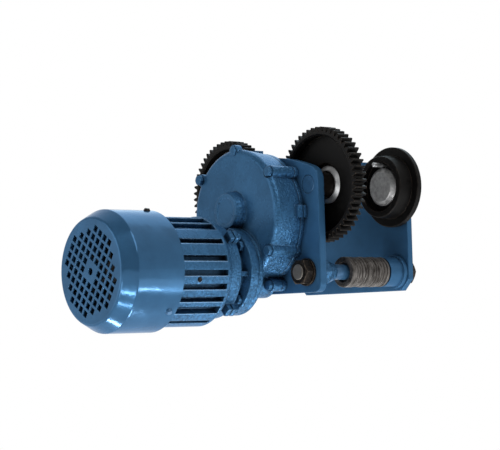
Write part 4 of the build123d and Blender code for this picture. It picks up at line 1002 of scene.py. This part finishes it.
middle = (cad_low + cad_high) / 2
soft_box("high soft box behind", (-0.9, 1.5, 1.4), middle, (2.4, 2.0), 15, tint=(0.5, 0.82, 1.0))
soft_box("low side soft box", (0.68, 0.25, -0.44), (0.05, -0.28, -0.1), (0.5, 0.3), 0.72)
soft_box("low front soft box", (0.48, -0.77, -0.45), (0.03, -0.2, -0.08), (0.4, 0.3), 1.4)
soft_box("box under the gear case", (0.13, -0.09, -0.66), (0.05, -0.12, -0.06), (0.16, 0.14), 2.2)
soft_box("high fill on the right", (1.0, -0.1, 1.1), middle, (1.0, 1.0), 9.5)
soft_box("front fill", (-0.4, -1.7, 0.25), (0.0, -0.3, -0.06), (1.4, 1.4), 9.6)
soft_box("left box for the grille", (-1.2, -1.3, 0.0), (0.0, -0.36, -0.07), (0.8, 0.8), 0.75)
soft_box("window on the cover's side", (0.666, 0.186, -0.52), (0.072, -0.33, -0.09), (0.055, 0.045), 0.34)
soft_box("window on the cover's cone", (0.59, -0.6, -0.57), (0.065, -0.352, -0.093), (0.14, 0.035), 0.55)
soft_box("second window on the cone", (0.3, -0.5, -0.64), (0.058, -0.35, -0.108), (0.08, 0.03), 0.3)
soft_box("window below the cone", (-0.14, -0.36, -0.65), (0.034, -0.348, -0.13), (0.14, 0.05), 0.8)
print("lamps:", [lamp.name for lamp in bpy.data.lights])

# %% [markdown]
# ## Camera
#
# The picture was taken with a long lens from about the height of the motor's axis, looking slightly
# up. A camera can be aimed at a point with a constraint, but that leaves out its tilt, so it is
# turned by the two directions that run to the right and forward in the picture. The second is made
# square to the first.

# %% Catalogue camera
PICTURE_WIDTH = 500
FOCAL_PIXELS = 1823
SENSOR_MM = 36.0
CAMERA_PLACE = (1.8555, -1.597, -0.1443)
PICTURE_RIGHT = (0.6242, 0.7808, -0.0267)
PICTURE_FORWARD = (-0.7788, 0.6245, 0.0586)
camera_data = bpy.data.cameras.new("catalogue camera")
camera_data.sensor_fit = "HORIZONTAL"
camera_data.sensor_width = SENSOR_MM
camera_data.lens = SENSOR_MM * FOCAL_PIXELS / PICTURE_WIDTH
camera = bpy.data.objects.new("catalogue camera", camera_data)
camera.rotation_mode = "QUATERNION"
right = Vector(PICTURE_RIGHT).normalized()
forward = Vector(PICTURE_FORWARD)
forward = (forward - right * forward.dot(right)).normalized()
up = right.cross(forward)
camera.rotation_quaternion = Matrix((right, up, -forward)).transposed().to_quaternion()
camera.location = CAMERA_PLACE
bpy.context.collection.objects.link(camera)
bpy.context.scene.camera = camera
bpy.context.scene.view_settings.view_transform = "Standard"
print("lens", round(camera_data.lens, 1), "mm")
